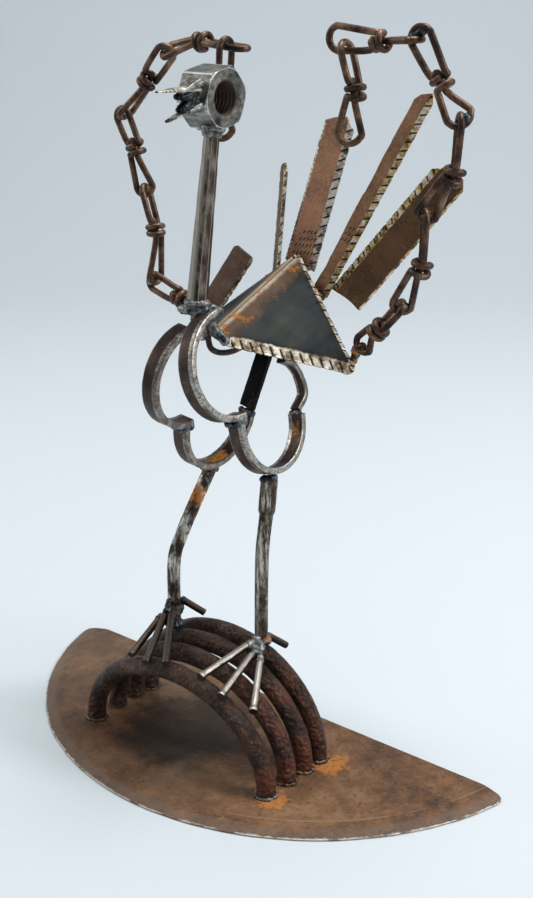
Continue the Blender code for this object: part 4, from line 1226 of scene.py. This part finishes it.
# Tail feathers. share is how far down a section's rear edge the root is, shift moves it off the edge, facing
# turns the blade's back, and a row of strokes is its middle and their count
feathers = {
    "feather_1": dict(
        side=-1, share=0.96, shift=(-0.003, 0.010, 0.008), way=(29, 10, 48), long=0.053, root=0.0175,
        top=0.018, facing=10, tip="square", left="plain", right="notched", leftBevel=0.0006,
        rightBevel=0.0025, face=linear(118, 92, 76), tint=linear(150, 130, 108)),
    "feather_2": dict(
        side=-1, share=0.30, shift=(0, 0.010, -0.003), way=(3, 5, 72), long=0.082, root=0.015, top=0.015,
        facing=-33, tip="point", left="dashed", right="dashed", leftBevel=0.005, rightBevel=0.005,
        face=linear(120, 98, 76), tint=linear(172, 156, 132)),
    "feather_3": dict(
        side=1, share=0.05, shift=(-0.008, 0.009, -0.006), way=(30, 6, 105), long=0.110, root=0.0245,
        top=0.0225, facing=10, tip="point", left="fine", right="dashed", leftBevel=0.0022, rightBevel=0.0060,
        face=linear(182, 134, 104), tint=linear(204, 186, 170),
        strokes=((0, 0.008, 6), (0, 0.0135, 6), (0.001, 0.019, 5), (0.001, 0.0245, 4))),
    "feather_4": dict(
        side=1, share=0.40, shift=(-0.006, 0.009, 0), way=(79, 6, 141), long=0.161, root=0.014, top=0.014,
        facing=-7, tip="slant", left="wavy", right="dashed", leftBevel=0.0005, rightBevel=0.0052,
        face=linear(150, 110, 80), tint=linear(202, 166, 112),
        strokes=((-0.0015, 0.043, 3), (-0.0010, 0.048, 3), (-0.0010, 0.053, 2))),
    "feather_5": dict(
        side=1, share=0.52, shift=(0.010, 0.009, 0.006), way=(85, -7, 95), long=0.128, root=0.025, top=0.024,
        facing=30, tip="hollow", left="dashed", right="notched", leftBevel=0.0048, rightBevel=0.0020,
        face=linear(104, 72, 46), tint=linear(196, 156, 96)),
}
blade = {
    "thick": 0.0024, "pitch": 0.0068, "hollow": 0.018, "bevelDrop": 0.0012, "backDrop": 0.0004,
    "grooveDeep": 0.0005, "waveLong": 0.018, "waveDeep": 0.0024,
}
stroke = {"space": 0.0027, "climb": 0.0008, "half": 0.0013, "wide": 0.00045, "deep": 0.0004}
tipShapes = {  # share of the width from the left edge, and of the length
    "square": ((0, 0.96), (0.12, 1), (0.88, 1), (1, 0.96)),
    "point": ((0, 0.93), (0.30, 0.97), (0.65, 1), (1, 0.93)),
    "slant": ((0, 0.93), (0.25, 0.97), (0.70, 1), (1, 0.975)),
    "hollow": ((0, 0.94), (0.25, 0.99), (0.8, 1), (1, 0.95)),
}
edgeCuts = {  # strength, pitch as a share of the blade's, depth of the teeth, slant, width of a cut
    "plain": (0, 1, 0, 0.25, 0.2), "wavy": (0, 1, 0, 0.25, 0.2), "notched": (0.3, 1, 0.0005, 0.25, 0.2),
    "fine": (0.9, 0.5, 0.0005, 0.25, 0.2), "dashed": (1, 1, 0.0007, 0.75, 0.17),
}


def strokeDepth(spots, rows):
    # a stamp's place, kept as rows of short slanted cuts that stand apart and spell nothing
    depth = np.zeros(spots.shape[:2])
    for x, y, count in rows:
        for k in range(count):
            centre = np.array([x + (k + 0.5 - count / 2) * stroke["space"], y + k * stroke["climb"]])
            lean = math.radians(58 + 9 * ((k * 7) % 3))
            way = np.array([math.cos(lean), math.sin(lean)])
            away = spots - centre
            along = np.clip(away @ way, -stroke["half"], stroke["half"])
            far = np.linalg.norm(away - along[..., None] * way, axis=2)
            depth = np.maximum(depth, np.clip(1.3 - far / stroke["wide"], 0, 1))
    return depth


def featherBack(f):
    turn = math.radians(f["facing"])
    return Vector((math.sin(turn), -math.cos(turn), 0))


def makeFeather(name, f):
    root = rearEdge(f["side"], f["share"]) + Vector(f["shift"])
    place = frameAt(root, f["way"], featherBack(f))
    us = np.linspace(0, 1, 46)
    vs = np.linspace(0, 1, round(f["long"] / 0.00045))
    top = np.interp(us, *zip(*tipShapes[f["tip"]]))
    start = (1 - (2 * us - 1) ** 2) * (blade["hollow"] if f["tip"] == "hollow" else 0)
    ys = (start[None, :] + vs[:, None] * (top - start)[None, :]) * f["long"]
    wide = f["root"] + (f["top"] - f["root"]) * ys / f["long"]
    fromLeft, fromRight = us[None, :] * wide, (1 - us[None, :]) * wide
    xs = fromLeft - wide / 2
    flat = np.dstack([xs, ys])
    pitch = f["long"] / round(f["long"] / blade["pitch"])
    groove = np.zeros(xs.shape)
    bevel = np.zeros(xs.shape)
    for side, away, sign in (("left", fromLeft, 1), ("right", fromRight, -1)):
        strength, share, tooth, slant, sharp = edgeCuts[f[side]]
        width = f[side + "Bevel"]
        bevel = np.maximum(bevel, np.clip(1.05 - away / width, 0, 1))
        if strength:
            cut = saw((ys - (width - away) * slant) / (pitch * share), sharp)
            groove = np.maximum(groove, cut * strength * (away < width * 0.78))
            flat[:, :, 0] += sign * cut * tooth * (away < 0.0002)
    if f["left"] == "wavy":
        wave = roughNoise(np.dstack([ys * 0, ys, ys * 0]), blade["waveLong"], 61) - 0.35
        wave *= blade["waveDeep"]
        flat[:, :, 0] += np.clip(wave, 0, 1) * np.clip(1 - fromLeft / 0.004, 0, 1)
    stamp = strokeDepth(np.dstack([xs, ys]), f.get("strokes", ()))
    spots = np.dstack([flat, np.full(xs.shape, float(f["facing"]))])
    uneven = (roughNoise(spots, 0.008, 71) - 0.5) * 0.0003
    half = blade["thick"] / 2
    high = half - 0.00016 - bevel * blade["bevelDrop"] - groove * blade["grooveDeep"] + uneven
    high -= stamp * stroke["deep"]
    low = -half + 0.0001 + bevel * blade["backDrop"]
    high = np.maximum(high, low + 0.0004)
    marks = {"bevel": bevel, "groove": np.clip(groove + stamp * 0.8, 0, 1)}
    finish = finishBlade(name.replace("_", "") + "Steel", f["face"], f["tint"], 0.8)
    plateMesh(name + "_finish", flat, high, low, place, marks, [finish], name)


# Chains of hooked links

wire = 0.0048
chain = {"half": 0.0062, "wide": 0.0075, "waist": 1.15 * wire, "knot": 1.4 * wire, "play": 0.0018, "y": 0.090}
small, large = chain["half"], chain["wide"]
plumes = {  # places are x and z; a loop is its two turns and its two half widths
    "left": {
        "joints": ((0.061, 0.287), (0.093, 0.320), (0.108, 0.381), (0.132, 0.441), (0.099, 0.489),
                   (0.033, 0.484)),
        "knots": ((0.0766, 0.3025), (0.108, 0.348), (0.1285, 0.408), (0.117, 0.462), (0.0715, 0.4835)),
        "loops": ((0, 129, small, small), (-39, 129, small, small), (-39, 129, small, large),
                  (-39, 0, large, large), (90, 0, small, large)),
        "hanger": (0.69, (0.0545, 0.4525), (0.049, 0.420), (-39, 90, large, small)),
    },
    "right": {
        "joints": ((-0.085, 0.291), (-0.1255, 0.305), (-0.130, 0.371), (-0.1515, 0.424), (-0.106, 0.470),
                   (-0.035, 0.474)),
        "knots": ((-0.099, 0.297), (-0.1203, 0.3435), (-0.138, 0.400), (-0.1245, 0.448), (-0.073, 0.477)),
        "loops": ((0, 0, small, small), (90, 110, small, small), (-20, 0, small, small),
                  (90, 39, small, small), (51, 90, small, small)),
        "hanger": (0.69, (-0.049, 0.444), (-0.053, 0.415), (-39, 90, large, small)),
    },
}


def sideWay(along, turn):
    flat = Vector((along.z, 0, -along.x)).normalized()
    a = math.radians(turn)
    return (flat * math.cos(a) + along.cross(flat) * math.sin(a)).normalized()


def loopPoints(knot, end, side, half):
    steps = 12
    along = (end - knot).normalized()
    turnAt = end - along * half
    points = [knot + along * chain["knot"] + side * min(half, chain["waist"])]
    for k in range(steps + 1):
        a = math.pi * k / steps
        points.append(turnAt + side * half * math.cos(a) + along * half * math.sin(a))
    return points


def wrapPoints(centre, along, side, face, reach, start, stop):
    steps = 14
    points = []
    for k in range(steps + 1):
        a = math.radians(start + (stop - start) * k / steps)
        points.append(centre + along * reach * (0.5 - k / steps)
                      + wire * 1.06 * (side * math.cos(a) + face * math.sin(a)))
    return points


def makeLink(name, low, knot, high, loops, finish):
    turnLow, turnHigh, halfLow, halfHigh = loops
    down, up = (low - knot).normalized(), (high - knot).normalized()
    sideLow, sideHigh = sideWay(down, turnLow), sideWay(up, turnHigh)
    faceLow, faceHigh = down.cross(sideLow), up.cross(sideHigh)
    spot = wire * 0.56
    path = wrapPoints(knot + down * spot, down, sideLow, faceLow, -wire * 0.5, -300, 0)
    path += loopPoints(knot, low, sideLow, halfLow)
    path += [knot + down * wire * 1.3, knot + up * wire * 1.3]
    path += loopPoints(knot, high, -sideHigh, halfHigh)
    path += wrapPoints(knot + up * spot, up, sideHigh, faceHigh, wire * 0.5, 0, 300)
    bar(name + "_finish", smoothPath(path, 4), wire * 0.48, finish, name, 16, 0.0008, 0.00012, 320)


def hookOverlap(knotLow, joint, knotHigh, loopsLow, loopsHigh):
    lowWay, highWay = (joint - knotLow).normalized(), (knotHigh - joint).normalized()
    halfLow, halfHigh = loopsLow[3], loopsHigh[2]
    touch = wire + chain["play"]
    lowerHolds = lowWay * halfLow - highWay * (halfLow - touch)
    upperHolds = highWay * halfHigh - lowWay * (halfHigh - touch)
    return upperHolds.lerp(lowerHolds, math.cos(math.radians(loopsLow[1])) ** 2)


def hookPoint(knot, end, turn, half, share):
    way = end - knot
    straight = way.length - half - chain["knot"]
    out = min(max((share * way.length - chain["knot"]) / straight, 0), 1)
    offset = chain["waist"] + out * (half - chain["waist"])
    return knot + share * way - sideWay(way.normalized(), turn) * offset + Vector((0, 0, wire + gap))


def makeChain(name, plume, finish):
    spots = [Vector((x, chain["y"], z)) for x, z in plume["joints"]]
    middles = [Vector((x, chain["y"], z)) for x, z in plume["knots"]]
    loops = plume["loops"]
    ends = [[spots[0]]]
    for k in range(len(middles) - 1):
        past = hookOverlap(middles[k], spots[k + 1], middles[k + 1], loops[k], loops[k + 1]) / 2
        ends[-1].append(spots[k + 1] + past)
        ends.append([spots[k + 1] - past])
    ends[-1].append(spots[-1])
    for k, knot in enumerate(middles):
        makeLink(f"{name}_link_{k + 1}", ends[k][0], knot, ends[k][1], loops[k], finish)
    share, knot, bottom, hangerLoops = plume["hanger"]
    top = hookPoint(middles[-1], spots[-1], loops[-1][1], loops[-1][3], share)
    low, middle = [Vector((x, top.y, z)) for x, z in (bottom, knot)]
    makeLink(f"{name}_link_{len(middles) + 1}", low, middle, top, hangerLoops, finish)
    return spots


# Welds, with the finish of each joint up a chain

jointCoats = {
    "left": ("bronze", "silver", "silver", "blue", "blue"),
    "right": ("blue", "silver", "silver", "", "silver"),
}


def ringAround(centre, axis, radius, steps=10):
    way = Vector(axis).normalized()
    side = way.cross(Vector((0.3, 1, 0.2))).normalized()
    other = way.cross(side)
    turns = [math.radians(360 * k / steps) for k in range(steps + 1)]
    return [Vector(centre) + side * radius * math.cos(a) + other * radius * math.sin(a) for a in turns]


def weldHead(coats):
    foot = neckFoot()
    leftTop, rightTop = thighSummit(1), thighSummit(-1)
    back = Vector((0, 0.006, -0.001))
    lines = [ringAround(foot + Vector((0, 0, 0.0005)), neckWay(), 0.0064),
             [leftTop + back, foot.lerp(leftTop, 0.5), foot - Vector((0, 0, 0.004))],
             [rightTop + back, rightTop.lerp(foot, 0.5), foot - Vector((0.004, -0.002, 0.006))],
             beside(foot, (-0.011, -0.003, -0.005), (0, -0.005, -0.004), (0.010, 0.001, -0.005))]
    weld("weld_neck_foot", lines, 0.0033, coats["silver"], 0.0024, 0.4, lump=0.0009)
    nose = ridgePoint(0)
    lines = [beside(foot, (0.004, 0.007, -0.004)), beside(foot, (-0.004, 0.007, -0.005))]
    lines[0] += beside(nose, (0.002, 0.001, 0.0015), (0.0085, 0.003, -0.004))
    lines[1] += beside(nose, (-0.008, 0.004, -0.004))
    weld("weld_body_nose", lines, 0.0042, coats["silver"], 0.0026, 0.4, lump=0.0009)
    lines = [ringAround(foot + neckWay() * (head["neckLong"] - 0.0030), neckWay(), 0.0046),
             ringAround(foot + neckWay() * (head["neckLong"] + 0.0004), neckWay(), 0.0064),
             beside(nutCentre() - neckWay() * 0.0185, (-0.008, 0, 0), (0.008, 0, 0))]
    weld("weld_chin", lines, 0.0030, coats["grey"], 0.0022, 0.3)
    spot = beakFrame(beak["rise"], 0, 0)
    fillets = []
    for rise, lift in ((beak["open"] / 2 + 0.0008, 0.0024), (-beak["open"] / 2 - 0.0004, 0)):
        for across in (-0.0034, 0, 0.0034):
            fillets.append([spot @ Vector((across * (1 - t * 0.4), 0.0004 + 0.015 * t, rise + lift * (1 - t)))
                            for t in (0, 0.25, 0.5, 0.75, 1)])
    radii = [[1, 0.85, 0.7, 0.55, 0.4]] * len(fillets)
    weld("weld_beak_root", fillets, 0.0032, coats["beak"], 0.0011, 0.1, 0.0005, lump=0.0002, radii=radii)


def weldThighs(coats, thighs):
    for side in (1, -1):
        place, _, frontCentre = thighs[side]
        wide = thigh["wide"] / 2 - 0.002
        knee = frontCentre - Vector((0, thigh["front"][side]))
        lines = [[place @ Vector((knee.x + x, knee.y - y, z)) for z in (-wide, 0, wide)]
                 for x, y in ((-0.0034, 0.0040), (0.0036, 0.0040), (0.0042, 0.0016))]
        lines += [[place @ Vector((knee.x + x, knee.y - 0.0030, z)) for x in (-0.003, 0, 0.003)]
                  for z in (-wide - 0.0004, wide + 0.0004)]
        weld(f"weld_knee_{sideName[side]}", lines, 0.0029, coats["blue"], 0.0024, 0.4)
        ring = ringAround(legTop(side) - thighUp(side) * 0.0008, thighUp(side), 0.0052)
        coat = coats["blue" if side > 0 else "bronze"]
        weld(f"weld_leg_top_{sideName[side]}", [ring], 0.0023, coat, 0.0026, 0.4)
    place, end, _ = thighs[1]
    seat = [place @ Vector((end.x + x, end.y + 0.0008, z))
            for x, z in ((-0.001, -0.0035), (0.001, 0), (-0.001, 0.0035))]
    weld("weld_rear_left", [seat], 0.0026, coats["silver"], 0.0022, 0.4)
    place, end, _ = thighs[-1]
    seat = [place @ Vector((end.x, end.y + 0.0022, z)) for z in (-0.005, 0, 0.005)]
    weld("weld_rear_right", [seat], 0.0030, coats["blue"], 0.0022, 0.4)


def weldFeet(coats):
    for side in (1, -1):
        low = legFoot(side)
        lines = [[low.lerp(root, 0.25) - Vector((0, 0, 0.0006)), root.lerp(tip, 0.08)]
                 for root, tip in toeEnds(side)]
        lines.append(ringAround(low + Vector((0, 0, 0.001)), (0, 0, 1), 0.0047))
        lines.append(beside(hub(side), (0, -0.005, 0.003), (0.001, -0.010, -0.002)))
        coat = coats["silver" if side > 0 else "blue"]
        weld(f"weld_foot_{sideName[side]}", lines, 0.0033, coat, 0.0026, 0.4)
    for number, row in enumerate(springRows(), 1):
        for end, way in (("a", -1), ("b", 1)):
            if end == "a" and number in (2, 3):
                continue  # these two feet stand free
            centre = (arch["x"] + way * arch["halfSpan"], row, base["thick"] + 0.0004)
            coat = coats["silver" if end == "b" and number == 1 else "rust"]
            weld(f"weld_spring_{number}_{end}", [ringAround(centre, (0, 0, 1), 0.0072, 14)], 0.0021, coat,
                 0.0024, 0.5)


def weldPlumes(coats, joints):
    for name, picks in jointCoats.items():
        for number, (spot, pick) in enumerate(zip(joints[name], picks), 1):
            if pick:
                line = beside(spot, (-0.0022, 0, -0.0014), (0.0024, 0.0004, 0.0016))
                weld(f"weld_{name}_joint_{number}", [line], 0.0036, coats[pick])
    for name, f in feathers.items():
        if name == "feather_5":
            continue  # its root is hidden by the left chain
        edge = rearEdge(f["side"], f["share"])
        root = edge + Vector(f["shift"])
        across = Vector(f["way"]).normalized().cross(featherBack(f)).normalized()
        lines = [[root.lerp(edge, t) + across * f["root"] * s for s in (-0.25, 0, 0.25)]
                 for t in (0.1, 0.4, 0.7)]
        weld("weld_" + name, lines, 0.0024, coats["rust"], 0.0020, 0.3)
    line = beside(rearEdge(1, 0.98), (0.001, 0.002, -0.002)) + beside(joints["left"][0], (0, 0, 0.001))
    weld("weld_plume_left", [line], 0.0034, coats["bronze"], 0.0024, 0.4)
    line = beside(rearEdge(-1, 0.98), (0, 0.002, 0)) + [joints["right"][0]]
    weld("weld_plume_right", [line], 0.0034, coats["blue"], 0.0024, 0.4)
    stop = ridgePoint(braces["atRidge"]) - Vector((0, 0, body["thick"] * 2.4))
    weld("weld_brace_top", [beside(stop, (-0.006, 0, 0), (0.006, 0, 0))], 0.0028, coats["blue"])


# The stage, light and camera

view = {
    "place": (0.575, -0.643, 0.546), "down": math.radians(20.27), "turn": math.radians(38.95), "lens": 56.13,
    "sensor": 36,
}
stage = {"wide": 8.0, "front": 6.0, "back": 1.3, "curve": 1.0, "high": 3.2, "below": 0.0001}
lamps = {  # place, what it points at, size, watts, colour
    "overhead": ((0.2, 0.5, 2.2), (0, 0.1, 0.2), 0.9, 33, (1, 1, 1)),
    "windowRight": ((1.6, 0.9, 1.1), (0, 0.03, 0.24), 0.6, 22, (0.99, 0.99, 1)),
    "windowLeft": ((-1.5, -0.6, 1.0), (0, 0.03, 0.25), 0.8, 9, (1, 0.99, 0.97)),
}
room = {"colour": linear(226, 234, 240), "strength": 0.38, "floor": linear(208, 215, 219)}


def makeStage():
    # a sheet that lies flat, curves up behind the piece and faces the camera
    turns = [math.radians(a) for a in range(0, 91, 6)]
    line = [(-stage["front"], 0)]
    curve = stage["curve"]
    line += [(stage["back"] + curve * math.sin(a), curve * (1 - math.cos(a))) for a in turns]
    line.append((stage["back"] + curve, stage["high"]))
    turn = Matrix.Rotation(view["turn"], 4, "Z")
    verts = [turn @ Vector((x, y, z - stage["below"])) for x in (-stage["wide"], stage["wide"])
             for y, z in line]
    floor = bpy.data.objects.new("floor", meshOf("floor", verts, gridFaces(2, len(line), flip=True)))
    floor.data.shade_smooth()
    f = Finish("paleSheet", 0.0, 0.75)
    f.shader.inputs["Base Color"].default_value = (*room["floor"], 1)
    floor.data.materials.append(f.material)
    bpy.context.scene.collection.objects.link(floor)


def makeLight():
    world = bpy.data.worlds.new("paleRoom")
    world.use_nodes = True
    sky = world.node_tree.nodes["Background"]
    sky.inputs["Color"].default_value = (*room["colour"], 1)
    sky.inputs["Strength"].default_value = room["strength"]
    bpy.context.scene.world = world
    bpy.context.scene.view_settings.view_transform = "Standard"
    for name, (place, aim, size, power, colour) in lamps.items():
        light = bpy.data.lights.new(name, "AREA")
        light.shape = "DISK"
        light.size = size
        light.energy = power
        light.color = colour
        item = bpy.data.objects.new(name, light)
        item.location = place
        item.rotation_euler = (Vector(place) - Vector(aim)).to_track_quat("Z", "Y").to_euler()
        bpy.context.scene.collection.objects.link(item)


def makeCamera():
    data = bpy.data.cameras.new("photoView")
    data.lens = view["lens"]
    data.sensor_width = view["sensor"]
    item = bpy.data.objects.new("photoView", data)
    item.location = view["place"]
    item.rotation_euler = (math.pi / 2 - view["down"], 0, view["turn"])
    bpy.context.scene.collection.objects.link(item)
    bpy.context.scene.camera = item


makeCamera()
makeStage()
makeLight()
print("stage, light and camera set")
barTree, beadTree = barMaker(), beadMaker()
makeBase()
makeSprings()
print("base and spring bars made")
# brightToe and dullToe differ only in that painted highlight on their upper faces
toeFinishes = (finishToe("brightToe", linear(182, 174, 164)), finishToe("dullToe", linear(112, 96, 84)))
kneeSpot = thighFrame(1) @ Vector((0.033, 0.022, 0))
rightU = thighFrame(-1) @ Vector((0.006, 0.006, 0))
flatFace = finishFlatFace([(tuple(kneeSpot), 0.006), (tuple(rightU), 0.011)])
flatFinishes = {1: [flatFace, finishGroundEdge("groundEdge", 0)],
                -1: [flatFace, finishGroundEdge("dullEdge", 1)]}
thighs = {}
for legSide in (1, -1):
    makeLeg(legSide)
    makeToes(legSide, *toeFinishes)
    thighs[legSide] = makeThigh(legSide, flatFinishes[legSide])
print("legs, toes and thighs made")
knifeFinish = finishKnife()
for bodySide in (1, -1):
    makeSection(bodySide, knifeFinish)
makeBraces(thighs[1], thighs[-1], flatFinishes[-1])
makeKeel()
print("body made")
coats = {
    "silver": finishWeld("weldSilver", linear(56, 58, 60), linear(160, 161, 160), 0.12),
    "blue": finishWeld("weldBlue", linear(26, 31, 35), linear(92, 100, 108), 0.06),
    "bronze": finishWeld("weldBronze", linear(46, 37, 32), linear(116, 98, 84), 0.20),
    "grey": finishWeld("weldGrey", linear(60, 62, 62), linear(168, 166, 158), 0.04),
    "rust": finishWeld("weldRust", linear(62, 50, 42), linear(120, 104, 88), 0.12),
    "dark": finishWeld("weldDark", linear(12, 13, 15), linear(62, 66, 70), 0.02),
    "beak": finishWeld("weldBeak", linear(78, 77, 75), linear(140, 138, 134), 0),
}
makeNeck()
makeNut()
makeBeak(coats["dark"])
print("neck and head made")
for featherName, values in feathers.items():
    makeFeather(featherName, values)
print("feathers made")
chainFinish = finishChain()
joints = {name: makeChain(name, plume, chainFinish) for name, plume in plumes.items()}
print("chains made")
weldHead(coats)
weldThighs(coats, thighs)
weldFeet(coats)
weldPlumes(coats, joints)
print("welds made")
